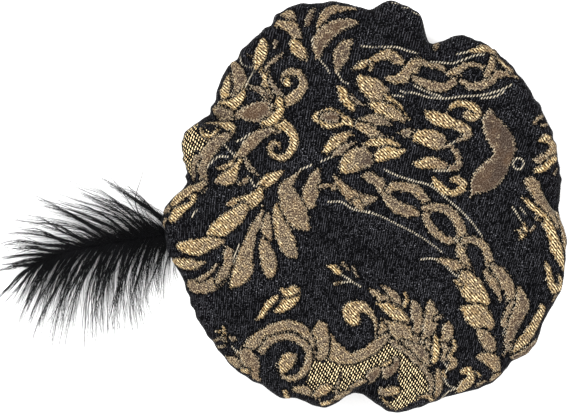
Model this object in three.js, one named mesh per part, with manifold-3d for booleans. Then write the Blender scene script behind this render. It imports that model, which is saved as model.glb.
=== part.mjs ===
// A Tudor flat cap: a round brocade crown gathered onto a headband, with a black plume under its left edge.
// Millimetres, +Z up. The cap stands on its headband with the crown above it, as it lies on a table.
// The crown's gathers and edge folds come from short tables, whose lengths are shares of the sizes below.
import * as THREE from "three";
import { mergeVertices } from "three/addons/utils/BufferGeometryUtils.js";
import Module from "manifold-3d";

const wasm = await Module();
wasm.setup();

// Headband sizes
const HEAD_GIRTH = 580; // round the head, inside the headband
const BAND_WALL = 3; // folded cloth round a stiffener
const BAND_HEIGHT = 34;
const BAND_EDGE = 0.8; // rounding of the band's edges
const BAND_STEPS = 96;

// Crown sizes
const CROWN_REACH = 150; // from the cap's axis to the crown's edge, between a fold's crest and its valley
const CROWN_RISE = 25; // top of the crown above the headband
const CROWN_WALL = 2; // brocade and its interlining
const EDGE_RISE = 2; // widest part of the crown above the headband's top
const EDGE_SAG = 15; // lowest part of the underside below the widest part
const EDGE_ROLL = 24; // width of the turn from the edge to the underside
const CROWN_FULLNESS = 3.2; // 2 would be an ellipse in section; more is flatter with a rounder edge
const CREASE_FADE = 0.8; // share of a crease's depth that is lost by its inner end
const EDGE_FIRMNESS = 6; // how sharply the top's dents end near the edge: more keeps them nearer to it
const GATHERS = 32; // round the hem
const GATHER_DEPTH = 2.6; // of a gather, from its mean surface, where it is deepest
const GATHER_CREST = 2.5; // stage of the section where the gathers are deepest, half way to the hem
const GATHER_DRIFT = 0.045; // radians that a gather strays from even spacing
const STEPS_PER_GATHER = 4;
const HEM_LAP = 2.6; // of the crown's hem over the top edge of the headband
const SEAM_GAP = 0.3; // between pieces that are sewn together

// Plume sizes
const PLUME_AT = 187; // degrees round from the right-hand side, where the quill meets the headband
const PLUME_REACH = 160; // straight out from the headband to the last point of the quill
const QUILL_RADIUS = 1.7; // at the root
const QUILL_TIP = 0.35; // share of that radius left at the tip
const QUILL_STEPS = 14;
const QUILL_SIDES = 8;
const LOCK_WIDTH = 11; // of a lock of barbs, at its widest
const LOCK_THICKNESS = 4.4;
const LOCK_TIP = 0.14; // share of the width and thickness left at its tip
const LOCK_BELLY = 1.6; // 1 would taper it evenly; more keeps it wide for longer
const LOCK_STEPS = 4; // along a lock
const LOCK_SIDES = 4;
const HIGH_LOCK = 2.9; // every other lock lies this far above the quill, and the rest below it
const LOW_LOCK = -1.3;
const UPPER_LOCKS = 13;
const LOWER_LOCKS = 15;
const FIRST_LOCK = 0.3; // share of the quill's length where the barbs begin
const LAST_LOCK = 0.98;

// Tab sizes: a fold of cloth on the headband that holds the quill's root
const TAB_LENGTH = 16; // along the quill
const TAB_WALL = 1.6;
const TAB_CLEARANCE = 0.3; // round the quill

// The crown's edge seen from above, a row for each fold's crest or valley:
// at, degrees round from the right-hand side; out, share of CROWN_REACH
const EDGE_FOLDS = [
  { at: 0, out: 0.938 },
  { at: 12, out: 0.965 },
  { at: 24, out: 0.986 },
  { at: 54, out: 1.01 },
  { at: 61, out: 0.99 },
  { at: 70, out: 0.885 },
  { at: 77, out: 1.02 },
  { at: 84, out: 1.048 },
  { at: 90, out: 1.0 },
  { at: 101, out: 1.055 },
  { at: 111, out: 1.086 },
  { at: 123, out: 1.03 },
  { at: 134, out: 0.998 },
  { at: 148.5, out: 0.93 },
  { at: 158, out: 0.994 },
  { at: 171, out: 0.918 },
  { at: 181, out: 1.025 },
  { at: 190, out: 1.02 },
  { at: 200, out: 0.985 },
  { at: 216, out: 1.01 },
  { at: 231, out: 1.03 },
  { at: 238, out: 1.016 },
  { at: 244, out: 1.026 },
  { at: 250, out: 0.996 },
  { at: 256, out: 1.005 },
  { at: 266, out: 0.905 },
  { at: 278, out: 1.01 },
  { at: 291, out: 0.998 },
  { at: 307, out: 1.046 },
  { at: 313, out: 1.03 },
  { at: 319, out: 1.056 },
  { at: 330, out: 1.018 },
  { at: 337, out: 1.026 },
  { at: 350, out: 0.992 },
];

// Creases that run in over the top from the edge, a row each: from and to, degrees and share of CROWN_REACH;
// deep and wide, shares of CROWN_RISE
const TOP_CREASES = [
  { fromAt: 70, fromOut: 0.93, toAt: 66, toOut: 0.72, deep: 0.3, wide: 0.26 },
  { fromAt: 90, fromOut: 1.0, toAt: 91, toOut: 0.82, deep: 0.14, wide: 0.34 },
  { fromAt: 105, fromOut: 1.06, toAt: 111, toOut: 0.84, deep: 0.12, wide: 0.24 },
  { fromAt: 151, fromOut: 0.97, toAt: 143, toOut: 0.75, deep: 0.3, wide: 0.22 },
  { fromAt: 171, fromOut: 0.95, toAt: 165, toOut: 0.76, deep: 0.22, wide: 0.26 },
  { fromAt: 200, fromOut: 0.98, toAt: 204, toOut: 0.84, deep: 0.1, wide: 0.3 },
  { fromAt: 266, fromOut: 0.92, toAt: 281, toOut: 0.83, deep: 0.26, wide: 0.22 },
  { fromAt: 1, fromOut: 0.94, toAt: 12, toOut: 0.82, deep: 0.22, wide: 0.24 },
  { fromAt: 313, fromOut: 1.03, toAt: 311, toOut: 0.88, deep: 0.1, wide: 0.26 },
];

// Soft hollows and swells of the top, a row each: at, degrees; out, share of CROWN_REACH;
// deep and wide, shares of CROWN_RISE, where a negative depth swells
const TOP_HOLLOWS = [
  { at: 40, out: 0.45, deep: 0.1, wide: 1.9 },
  { at: 120, out: 0.6, deep: -0.07, wide: 1.7 },
  { at: 160, out: 0.5, deep: 0.09, wide: 1.6 },
  { at: 215, out: 0.62, deep: -0.07, wide: 1.8 },
  { at: 262, out: 0.5, deep: 0.08, wide: 1.7 },
  { at: 325, out: 0.6, deep: -0.08, wide: 1.9 },
  { at: 350, out: 0.3, deep: 0.06, wide: 1.6 },
];

// The quill seen from above and from the side, a row for each section, in shares of PLUME_REACH: out, straight away
// from the cap; aside, anticlockwise; lift, upwards. Its root runs straight through the tab before them.
const QUILL_ROUTE = [
  { out: 0.32, aside: -0.009, lift: 0 },
  { out: 0.56, aside: -0.002, lift: 0.016 },
  { out: 0.8, aside: 0.014, lift: 0.022 },
  { out: 1, aside: 0.062, lift: 0.006 },
];

// The barbs on each side of the quill, a row for each section: along, share of the quill's length;
// long, share of PLUME_REACH; lean, degrees from the quill's run; curl, degrees turned by the tip
const UPPER_BARBS = [
  { along: 0.3, long: 0.3, lean: 46, curl: -6 },
  { along: 0.44, long: 0.44, lean: 50, curl: -12 },
  { along: 0.6, long: 0.41, lean: 42, curl: -10 },
  { along: 0.8, long: 0.35, lean: 34, curl: -8 },
  { along: 1, long: 0.18, lean: 12, curl: -4 },
];
const LOWER_BARBS = [
  { along: 0.3, long: 0.24, lean: 48, curl: 44 },
  { along: 0.42, long: 0.44, lean: 48, curl: 50 },
  { along: 0.62, long: 0.45, lean: 42, curl: 42 },
  { along: 0.8, long: 0.38, lean: 34, curl: 34 },
  { along: 1, long: 0.22, lean: 16, curl: 14 },
];

const bandInner = HEAD_GIRTH / (2 * Math.PI);
const bandOuter = bandInner + BAND_WALL;
const seamRadius = bandOuter + SEAM_GAP;
const hemRadius = bandOuter - HEM_LAP;
const hemHeight = BAND_HEIGHT + SEAM_GAP;
const edgeHeight = BAND_HEIGHT + EDGE_RISE;
const underHeight = edgeHeight - EDGE_SAG;
const topHeight = BAND_HEIGHT + CROWN_RISE;
const crownSteps = GATHERS * STEPS_PER_GATHER;

const radians = (degrees) => THREE.MathUtils.degToRad(degrees);
const ease = (share) => THREE.MathUtils.smoothstep(share, 0, 1);

function material(color, roughness, metalness = 0) {
  return new THREE.MeshStandardMaterial({ color, roughness, metalness });
}

function named(name, geometry, finish) {
  const mesh = new THREE.Mesh(geometry, finish);
  mesh.name = name;
  return mesh;
}

// A closed geometry with only shared positions, which manifold-3d takes.
function welded(geometry) {
  const bare = geometry.clone();
  bare.deleteAttribute("normal");
  bare.deleteAttribute("uv");
  return mergeVertices(bare, 1e-4);
}

function solidOf(geometry) {
  const { attributes, index } = welded(geometry);
  return new wasm.Manifold(
    new wasm.Mesh({
      numProp: 3,
      vertProperties: attributes.position.array,
      triVerts: new Uint32Array(index.array),
    }),
  );
}

function geometryOf(solid) {
  const { vertProperties, triVerts } = solid.getMesh();
  const geometry = new THREE.BufferGeometry();
  geometry.setAttribute("position", new THREE.BufferAttribute(vertProperties, 3));
  geometry.setIndex(new THREE.BufferAttribute(triVerts, 1));
  geometry.computeVertexNormals();
  return geometry;
}

// The value of one column of a table at a place between its rows, level at each row.
function betweenRows(rows, place, by, column) {
  const next = rows.findIndex((row) => row[by] >= place);
  if (next === 0) return rows[0][column];
  if (next < 0) return rows[rows.length - 1][column];
  const [low, high] = [rows[next - 1], rows[next]];
  const share = (place - low[by]) / (high[by] - low[by]);
  return THREE.MathUtils.lerp(low[column], high[column], ease(share));
}

const firstFold = EDGE_FOLDS[0];
const lastFold = EDGE_FOLDS[EDGE_FOLDS.length - 1];
const roundEdge = [
  { ...lastFold, at: lastFold.at - 360 },
  ...EDGE_FOLDS,
  { ...firstFold, at: firstFold.at + 360 },
];

// How far out the crown reaches in a direction, in radians round the axis.
function edgeReach(angle) {
  const degrees = THREE.MathUtils.euclideanModulo(THREE.MathUtils.radToDeg(angle), 360);
  return CROWN_REACH * betweenRows(roundEdge, degrees, "at", "out");
}

// The direction of a step round the crown: a slow and a quick wave make the gathers a little uneven.
function gatheredAngle(turn) {
  const slowWave = Math.sin(3 * turn + 0.6);
  const quickWave = 0.6 * Math.sin(7 * turn + 2.1);
  return turn + GATHER_DRIFT * (slowWave + quickWave);
}

// The crown's section before its folds, by stage: 0 to 1 from the middle of the top to the edge,
// 1 to 2 round the turn to the underside, 2 to 3 along the underside, 3 to 4 over the headband's top edge.
function sectionPoint(stage, reach) {
  if (stage <= 1) {
    const turn = (stage * Math.PI) / 2;
    return new THREE.Vector2(
      reach * Math.pow(Math.sin(turn), 2 / CROWN_FULLNESS),
      edgeHeight + (topHeight - edgeHeight) * Math.pow(Math.max(Math.cos(turn), 0), 2 / CROWN_FULLNESS),
    );
  }
  if (stage <= 2) {
    const turn = ((stage - 1) * Math.PI) / 2;
    return new THREE.Vector2(
      reach - EDGE_ROLL * (1 - Math.cos(turn)),
      edgeHeight - EDGE_SAG * Math.sin(turn),
    );
  }
  if (stage <= 3) {
    const share = stage - 2;
    return new THREE.Vector2(
      THREE.MathUtils.lerp(reach - EDGE_ROLL, seamRadius, share),
      THREE.MathUtils.lerp(underHeight, hemHeight, ease(share)),
    );
  }
  return new THREE.Vector2(THREE.MathUtils.lerp(seamRadius, hemRadius, stage - 3), hemHeight);
}

// The outward direction of that section, in its own plane.
function sectionNormal(stage, reach) {
  if (stage === 0) return new THREE.Vector2(0, 1);
  if (stage >= 3) return new THREE.Vector2(0, -1);
  const nudge = 1e-4;
  const along = sectionPoint(stage + nudge, reach).sub(sectionPoint(stage - nudge, reach));
  return new THREE.Vector2(-along.y, along.x).normalize();
}

function planPoint(degrees, share) {
  const reach = CROWN_REACH * share;
  return new THREE.Vector2(reach * Math.cos(radians(degrees)), reach * Math.sin(radians(degrees)));
}

// Depth of the creases and hollows of the top at a point seen from above.
function topDent(point) {
  const crease = TOP_CREASES.reduce((sum, row) => {
    const from = planPoint(row.fromAt, row.fromOut);
    const run = planPoint(row.toAt, row.toOut).sub(from);
    const share = point.clone().sub(from).dot(run) / run.lengthSq();
    const nearest = from.clone().addScaledVector(run, THREE.MathUtils.clamp(share, 0, 1));
    const off = point.distanceTo(nearest) / (row.wide * CROWN_RISE);
    const fade = 1 - ease(share) * CREASE_FADE;
    return sum + row.deep * CROWN_RISE * fade * Math.exp(-off * off);
  }, 0);
  return TOP_HOLLOWS.reduce((sum, row) => {
    const off = point.distanceTo(planPoint(row.at, row.out)) / (row.wide * CROWN_RISE);
    return sum + row.deep * CROWN_RISE * Math.exp(-off * off);
  }, crease);
}

// Height of the gathers over the section: none on the top, full half way along the underside, flat at the hem.
function gatherHeight(stage, turn) {
  if (stage <= 1 || stage >= 3) return 0;
  const swell = stage < GATHER_CREST ? (stage - 1) / (GATHER_CREST - 1) : (3 - stage) / (3 - GATHER_CREST);
  return GATHER_DEPTH * ease(swell) * Math.cos(GATHERS * turn);
}

// A point of the crown's cloth, on its outside or, with an inset, that far inside it.
function crownPoint(stage, turn, inset) {
  const angle = gatheredAngle(turn);
  const reach = edgeReach(angle);
  const flat = sectionPoint(stage, reach);
  const normal = sectionNormal(stage, reach);
  const seenFromAbove = new THREE.Vector2(flat.x * Math.cos(angle), flat.x * Math.sin(angle));
  const dent = stage <= 1 ? topDent(seenFromAbove) * (1 - Math.pow(stage, EDGE_FIRMNESS)) : 0;
  const height = gatherHeight(stage, turn) - dent - inset;
  const radius = Math.max(flat.x + normal.x * height, 0);
  return new THREE.Vector3(
    radius * Math.cos(angle),
    radius * Math.sin(angle),
    flat.y + normal.y * height,
  );
}

// Stages where the cloth has a ring of points, along the inside to the hem and then back along the outside.
const INSIDE_STAGES = [0, 0.2, 0.4, 0.62, 0.8, 0.92, 1, 1.5, 2, 2.5, 3, 4];
const OUTSIDE_STAGES = [4, 3, 2.75, 2.5, 2.25, 2, 1.75, 1.5, 1.25, 1, 0.95, 0.88, 0.79, 0.68, 0.55, 0.4, 0.2, 0];

function crownGeometry() {
  const rings = [
    ...INSIDE_STAGES.map((stage) => ({ stage, inset: CROWN_WALL })),
    ...OUTSIDE_STAGES.map((stage) => ({ stage, inset: 0 })),
  ];
  // The lathe turns about Y and gives the rings and their faces; each point then takes its place in the cloth.
  const lathe = new THREE.LatheGeometry(
    rings.map(({ stage }) => new THREE.Vector2(sectionPoint(stage, CROWN_REACH).x, 0)),
    crownSteps,
  );
  const places = lathe.getAttribute("position");
  for (let step = 0; step <= crownSteps; step += 1) {
    const turn = ((step % crownSteps) / crownSteps) * 2 * Math.PI;
    rings.forEach(({ stage, inset }, ring) => {
      const atAxis = stage === 0;
      const point = crownPoint(stage, atAxis ? 0 : turn, inset);
      places.setXYZ(step * rings.length + ring, atAxis ? 0 : point.x, atAxis ? 0 : point.y, point.z);
    });
  }
  return geometryOf(solidOf(lathe));
}

// The headband: a ring whose edges are rounded over, with a flat foot.
function bandGeometry() {
  const section = new THREE.Path();
  section.moveTo(bandInner + BAND_EDGE, 0);
  section.lineTo(bandOuter - BAND_EDGE, 0);
  section.lineTo(bandOuter, BAND_EDGE);
  section.lineTo(bandOuter, BAND_HEIGHT - BAND_EDGE);
  section.lineTo(bandOuter - BAND_EDGE, BAND_HEIGHT);
  section.lineTo(bandInner + BAND_EDGE, BAND_HEIGHT);
  section.lineTo(bandInner, BAND_HEIGHT - BAND_EDGE);
  section.lineTo(bandInner, BAND_EDGE);
  section.closePath();
  const ring = new THREE.LatheGeometry(section.getPoints(1), BAND_STEPS);
  return ring.rotateX(Math.PI / 2);
}

// A closed tapering strip along a curve in the plume's frame: width and thickness follow the share of its length.
function strip(curve, steps, sides, widthAt, thicknessAt) {
  const rod = new THREE.CylinderGeometry(1, 1, 1, sides, steps);
  const places = rod.getAttribute("position");
  const up = new THREE.Vector3(0, 0, 1);
  for (let i = 0; i < places.count; i += 1) {
    const share = THREE.MathUtils.clamp(0.5 - places.getY(i), 0, 1);
    const across = new THREE.Vector3().crossVectors(up, curve.getTangent(share)).normalize();
    const point = curve
      .getPoint(share)
      .addScaledVector(across, (places.getX(i) * widthAt(share)) / 2)
      .addScaledVector(up, (places.getZ(i) * thicknessAt(share)) / 2);
    places.setXYZ(i, point.x, point.y, point.z);
  }
  const solid = solidOf(rod);
  return solid.volume() > 0 ? solid : solidOf(turnedInsideOut(rod));
}

function turnedInsideOut(geometry) {
  const flipped = geometry.clone();
  const { index } = flipped;
  for (let i = 0; i < index.count; i += 3) {
    const first = index.getX(i);
    index.setX(i, index.getX(i + 1));
    index.setX(i + 1, first);
  }
  return flipped;
}

// The plume's frame: X straight out from the headband, Y anticlockwise round the cap, Z up.
const quillRoot = bandOuter + SEAM_GAP;
const quillHeight = underHeight / 2;
const quillCurve = new THREE.CatmullRomCurve3([
  new THREE.Vector3(quillRoot, 0, quillHeight),
  new THREE.Vector3(quillRoot + TAB_LENGTH, 0, quillHeight),
  ...QUILL_ROUTE.map(
    ({ out, aside, lift }) =>
      new THREE.Vector3(quillRoot + out * PLUME_REACH, aside * PLUME_REACH, quillHeight + lift * PLUME_REACH),
  ),
]);

// A lock of barbs that leaves the quill on one side, 1 or -1, and curls as its row says.
function lock(rows, along, side, level) {
  const read = (column) => betweenRows(rows, along, "along", column);
  const start = quillCurve.getPointAt(along);
  const run = quillCurve.getTangentAt(along);
  const heading = Math.atan2(run.y, run.x);
  const [long, lean, curl] = [read("long") * PLUME_REACH, radians(read("lean")), radians(read("curl"))];
  const points = [start.clone()];
  for (let i = 0; i < LOCK_STEPS; i += 1) {
    const direction = heading + side * (lean + (curl * (i + 0.5)) / LOCK_STEPS);
    const step = new THREE.Vector3(Math.cos(direction), Math.sin(direction), 0);
    points.push(points[i].clone().addScaledVector(step, long / LOCK_STEPS));
  }
  points.forEach((point, i) => {
    point.z += level * Math.sin((Math.PI * i) / (2 * LOCK_STEPS));
  });
  return strip(
    new THREE.CatmullRomCurve3(points),
    LOCK_STEPS,
    LOCK_SIDES,
    (share) => LOCK_WIDTH * THREE.MathUtils.lerp(1, LOCK_TIP, Math.pow(share, LOCK_BELLY)),
    (share) => LOCK_THICKNESS * THREE.MathUtils.lerp(1, LOCK_TIP, share),
  );
}

// The locks of one side, spaced evenly along the quill, with every other one a little higher.
function locks(rows, count, side) {
  return Array.from({ length: count }, (_, i) => {
    const along = THREE.MathUtils.lerp(FIRST_LOCK, LAST_LOCK, i / (count - 1));
    return lock(rows, along, side, i % 2 ? HIGH_LOCK : LOW_LOCK);
  });
}

function plumeGeometry() {
  const across = (share) => 2 * QUILL_RADIUS * THREE.MathUtils.lerp(1, QUILL_TIP, share);
  const quill = strip(quillCurve, QUILL_STEPS, QUILL_SIDES, across, across);
  const fused = wasm.Manifold.union([
    quill,
    ...locks(UPPER_BARBS, UPPER_LOCKS, -1),
    ...locks(LOWER_BARBS, LOWER_LOCKS, 1),
  ]);
  // Small pockets shut in between the locks are filled, so only the outermost shell is kept.
  const shells = fused.decompose().sort((one, other) => other.volume() - one.volume());
  return geometryOf(shells[0]);
}

// The tab: a fold of cloth that stands on the headband's side and lets the quill's root through.
function tabGeometry() {
  const hole = QUILL_RADIUS + TAB_CLEARANCE;
  const outside = new THREE.Shape().absarc(0, 0, hole + TAB_WALL, 0, 2 * Math.PI);
  outside.holes.push(new THREE.Path().absarc(0, 0, hole, 0, 2 * Math.PI, true));
  const sleeve = new THREE.ExtrudeGeometry(outside, { depth: TAB_LENGTH, bevelEnabled: false, curveSegments: 10 });
  return sleeve.rotateY(Math.PI / 2);
}

const brocade = material(0x1b1a1e, 0.75);
const blackCloth = material(0x131316, 0.85);
const featherBlack = material(0x0b0b0d, 0.6);

const cap = new THREE.Group();
cap.add(named("headband", bandGeometry(), blackCloth));
cap.add(named("crown", crownGeometry(), brocade));

const plumeFrame = new THREE.Group();
plumeFrame.rotation.z = radians(PLUME_AT);
plumeFrame.add(named("plume", plumeGeometry(), featherBlack));
const tab = named("quill_tab", tabGeometry(), blackCloth);
tab.position.set(quillRoot, 0, quillHeight);
plumeFrame.add(tab);
cap.add(plumeFrame);

// The origin is on the surface that the cap stands on, in the middle of its whole outline.
cap.updateMatrixWorld(true);
const outline = new THREE.Box3().setFromObject(cap, true);
const middle = outline.getCenter(new THREE.Vector3());
cap.position.set(-middle.x, -middle.y, -outline.min.z);

const part = new THREE.Group();
part.add(cap);
export default part;
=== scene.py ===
# %% [markdown]
# A Tudor flat cap in black and gold brocade, with a black plume
#
# The cap is one round piece of brocade. Its middle is the flat top, its rim turns under, and its edge is
# gathered into a headband. A plume comes out from under the left side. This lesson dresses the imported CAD
# model of that cap: the frame gives its place and its box, and the cells below model the cloth, the band
# and the feather over it, with the CAD model's own sizes.
#
# Everything is in metres inside Blender. Lengths of cloth and feather are easier to read in millimetres,
# so the helpers take millimetres round the cap's axis and turn them into the frame's metres at the end.

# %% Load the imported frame
import math
from types import SimpleNamespace
import bmesh
import bpy
import numpy as np
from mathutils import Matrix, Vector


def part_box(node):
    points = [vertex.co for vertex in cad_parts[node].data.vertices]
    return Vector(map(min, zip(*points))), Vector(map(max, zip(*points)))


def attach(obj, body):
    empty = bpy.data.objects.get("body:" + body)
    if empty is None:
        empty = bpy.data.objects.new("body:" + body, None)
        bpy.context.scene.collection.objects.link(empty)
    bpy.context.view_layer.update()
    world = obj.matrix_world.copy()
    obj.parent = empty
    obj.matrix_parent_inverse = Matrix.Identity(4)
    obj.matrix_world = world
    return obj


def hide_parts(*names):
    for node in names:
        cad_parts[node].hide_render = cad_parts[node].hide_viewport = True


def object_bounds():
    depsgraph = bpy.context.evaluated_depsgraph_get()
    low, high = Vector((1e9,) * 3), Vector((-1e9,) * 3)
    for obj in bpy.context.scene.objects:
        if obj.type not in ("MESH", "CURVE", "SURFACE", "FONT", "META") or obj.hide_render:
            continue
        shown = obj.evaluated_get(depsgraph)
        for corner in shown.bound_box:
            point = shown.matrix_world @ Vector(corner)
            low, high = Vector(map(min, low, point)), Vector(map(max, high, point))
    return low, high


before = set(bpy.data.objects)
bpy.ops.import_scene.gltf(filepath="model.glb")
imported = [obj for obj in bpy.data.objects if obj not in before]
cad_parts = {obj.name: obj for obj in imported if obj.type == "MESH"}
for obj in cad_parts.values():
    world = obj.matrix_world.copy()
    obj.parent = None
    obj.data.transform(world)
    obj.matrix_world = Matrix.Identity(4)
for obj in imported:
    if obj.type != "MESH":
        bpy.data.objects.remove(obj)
cad_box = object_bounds()
MM = 0.001
band_low, band_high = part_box("headband")
AXIS = np.array([(band_low.x + band_high.x) / 2, (band_low.y + band_high.y) / 2, band_low.z])
print("The cap's axis stands at", [round(float(number), 4) for number in AXIS])

# %% [markdown]
# The photograph looks straight down on the cap, its top edge towards +Y. A long lens from well above
# keeps the sides from showing, as in the photograph. The view is as wide as the photograph at the height
# of the crown's edge.

# %% Camera
PHOTO_SIZE = (569, 415)
PHOTO_WIDTH = 423 * MM
PIXEL = PHOTO_WIDTH / PHOTO_SIZE[0]
AXIS_PIXEL = (369.4, 210.7)
EYE_HEIGHT = 3.0
EDGE_HEIGHT = 36 * MM
SENSOR = 36

camera_data = bpy.data.cameras.new("camera")
camera_data.sensor_width = SENSOR
camera_data.lens = SENSOR * EYE_HEIGHT / PHOTO_WIDTH
camera = bpy.data.objects.new("camera", camera_data)
camera.location = (
    AXIS[0] + (PHOTO_SIZE[0] / 2 - AXIS_PIXEL[0]) * PIXEL,
    AXIS[1] - (PHOTO_SIZE[1] / 2 - AXIS_PIXEL[1]) * PIXEL,
    EDGE_HEIGHT + EYE_HEIGHT,
)
bpy.context.collection.objects.link(camera)
bpy.context.scene.camera = camera
print("The camera looks down from", [round(number, 4) for number in camera.location])

# %% [markdown]
# The floor is a plain white table. Big soft lights stand round the cap and leave it almost without a
# shadow, as in a catalogue photograph. The light from the upper left is a little stronger, so that folds
# and threads show. The Standard view keeps the white of the table and the black of the cloth as they are.

# %% Floor and lights
FLOOR_SIZE = 8
FLOOR_WHITE = (0.97, 0.97, 0.97, 1)
FLOOR_ROUGHNESS = 0.9
SKY_STRENGTH = 0.95
LIGHTS = {
    # name: how far right, towards the top of the photograph and up, in metres; size; power in watts
    "key": ((-0.95, 1.0, 1.7), 1.1, 50),
    "fill_right": ((1.6, 0.5, 1.3), 1.5, 24),
    "fill_front": ((0.1, -1.8, 1.2), 1.7, 40),
}

bpy.context.scene.view_settings.view_transform = "Standard"
world = bpy.data.worlds.new("studio")
world.use_nodes = True
world.node_tree.nodes["Background"].inputs["Color"].default_value = (1, 1, 1, 1)
world.node_tree.nodes["Background"].inputs["Strength"].default_value = SKY_STRENGTH
bpy.context.scene.world = world

floor_bm = bmesh.new()
bmesh.ops.create_grid(floor_bm, x_segments=1, y_segments=1, size=FLOOR_SIZE / 2)
floor_mesh = bpy.data.meshes.new("floor")
floor_bm.to_mesh(floor_mesh)
floor_bm.free()
floor = bpy.data.objects.new("floor", floor_mesh)
bpy.context.collection.objects.link(floor)
floor_paint = bpy.data.materials.new("white_table")
floor_paint.use_nodes = True
floor_paint.node_tree.nodes["Principled BSDF"].inputs["Base Color"].default_value = FLOOR_WHITE
floor_paint.node_tree.nodes["Principled BSDF"].inputs["Roughness"].default_value = FLOOR_ROUGHNESS
floor_mesh.materials.append(floor_paint)

for name, (place, size, power) in LIGHTS.items():
    light_data = bpy.data.lights.new(name, "AREA")
    light_data.size = size
    light_data.energy = power
    light = bpy.data.objects.new(name, light_data)
    light.location = place
    light.rotation_euler = (-light.location).to_track_quat("-Z", "Y").to_euler()
    bpy.context.collection.objects.link(light)
print("Lights:", ", ".join(LIGHTS))

# %% [markdown]
# Several finishes below are woven from the same few kinds of node, so a small helper adds them: it makes
# a material, and each call adds one node and gives its output. Patterns read either the piece's own
# attributes, which follow the cloth over its folds, or its object coordinates.

# %% A helper for materials
class Finish:
    """A material whose nodes are added one call at a time."""

    def __init__(self, name, roughness, specular):
        self.material = bpy.data.materials.new(name)
        self.material.use_nodes = True
        self.tree = self.material.node_tree
        self.shader = self.tree.nodes["Principled BSDF"]
        self.shader.inputs["Roughness"].default_value = roughness
        self.shader.inputs["Specular IOR Level"].default_value = specular

    def node(self, kind, **settings):
        made = self.tree.nodes.new(kind)
        for name, value in settings.items():
            setattr(made, name, value)
        return made

    def plug(self, value, socket):
        if isinstance(value, bpy.types.NodeSocket):
            self.tree.links.new(value, socket)
        else:
            socket.default_value = value

    def math(self, operation, *values):
        made = self.node("ShaderNodeMath", operation=operation)
        for value, socket in zip(values, made.inputs):
            self.plug(value, socket)
        return made.outputs[0]

    def times(self, first, second):
        return self.math("MULTIPLY", first, second)

    def plus(self, first, second):
        return self.math("ADD", first, second)

    def about_zero(self, value, width):
        """A value from 0 to 1, spread evenly to both sides of 0."""
        return self.math("MULTIPLY_ADD", value, width, -width / 2)

    def attribute(self, name, output="Fac"):
        return self.node("ShaderNodeAttribute", attribute_name=name).outputs[output]

    def split(self, vector):
        made = self.node("ShaderNodeSeparateXYZ")
        self.plug(vector, made.inputs[0])
        return made.outputs

    def stretch(self, vector, scale):
        made = self.node("ShaderNodeVectorMath", operation="MULTIPLY")
        self.plug(vector, made.inputs[0])
        made.inputs[1].default_value = scale
        return made.outputs[0]

    def noise(self, vector, detail=1.0):
        made = self.node("ShaderNodeTexNoise")
        self.plug(vector, made.inputs["Vector"])
        made.inputs["Scale"].default_value = 1
        made.inputs["Detail"].default_value = detail
        return made.outputs[0]

    def ramp(self, value, low, high, start=0.0, end=1.0):
        made = self.node("ShaderNodeMapRange")
        for number, socket in zip((value, low, high, start, end), made.inputs):
            self.plug(number, socket)
        return made.outputs[0]

    def wave(self, place, period, shift=0.0):
        turns = self.times(place, 2 * math.pi / period)
        swing = self.math("SINE", self.plus(turns, shift))
        return self.math("MULTIPLY_ADD", swing, 0.5, 0.5)

    def blend(self, share, first, second):
        made = self.node("ShaderNodeMix", data_type="RGBA")
        self.plug(share, made.inputs[0])
        self.plug(first, made.inputs[6])
        self.plug(second, made.inputs[7])
        return made.outputs[2]

    def colour(self, value):
        self.plug(value, self.shader.inputs["Base Color"])

    def bump(self, height, distance, strength=1.0):
        made = self.node("ShaderNodeBump")
        made.inputs["Strength"].default_value = strength
        made.inputs["Distance"].default_value = distance
        self.plug(height, made.inputs["Height"])
        self.tree.links.new(made.outputs[0], self.shader.inputs["Normal"])


def mesh_object(name, mesh, *finishes):
    """A piece of the cap: it rides on the cap's one body."""
    made = bpy.data.objects.new(name, mesh)
    bpy.context.collection.objects.link(made)
    for finish in finishes:
        mesh.materials.append(finish)
    mesh.shade_smooth()
    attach(made, "root")
    return made


print("The material helper is ready")

# %% [markdown]
# The crown's shape is the CAD crown's, worked out again in millimetres round the cap's axis, because the
# cloth has to lie where the solid does. A section runs from the middle of the top (stage 0) to the edge
# (1), round the turn (2), along the gathered underside (3) and over the headband's top edge (4). The
# edge's folds are rows of an angle and a share of the crown's reach.

# %% The crown's shape
CROWN_REACH = 150
BAND_HEIGHT = 34
CROWN_RISE = 25
CROWN_WALL = 2
EDGE_RISE = 2
EDGE_SAG = 15
EDGE_ROLL = 24
FULLNESS = 3.2
CREASE_FADE = 0.8
EDGE_FIRMNESS = 6
GATHERS = 32
GATHER_DEPTH = 2.6
GATHER_CREST = 2.5
GATHER_DRIFT = 0.045
HEM_LAP = 2.6
SEAM_GAP = 0.3
BAND_OUTER = (band_high.x - band_low.x) / 2 / MM
SEAM_RADIUS = BAND_OUTER + SEAM_GAP
HEM_RADIUS = BAND_OUTER - HEM_LAP
HEM_HEIGHT = BAND_HEIGHT + SEAM_GAP
EDGE_LEVEL = BAND_HEIGHT + EDGE_RISE
UNDER_LEVEL = EDGE_LEVEL - EDGE_SAG
TOP_LEVEL = BAND_HEIGHT + CROWN_RISE

EDGE_FOLDS = np.array([
    (0, 0.938), (12, 0.965), (24, 0.986), (54, 1.01), (61, 0.99), (70, 0.885), (77, 1.02), (84, 1.048),
    (90, 1.0), (101, 1.055), (111, 1.086), (123, 1.03), (134, 0.998), (148.5, 0.93), (158, 0.994),
    (171, 0.918), (181, 1.025), (190, 1.02), (200, 0.985), (216, 1.01), (231, 1.03), (238, 1.016),
    (244, 1.026), (250, 0.996), (256, 1.005), (266, 0.905), (278, 1.01), (291, 0.998), (307, 1.046),
    (313, 1.03), (319, 1.056), (330, 1.018), (337, 1.026), (350, 0.992), (360, 0.938),
])

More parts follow.
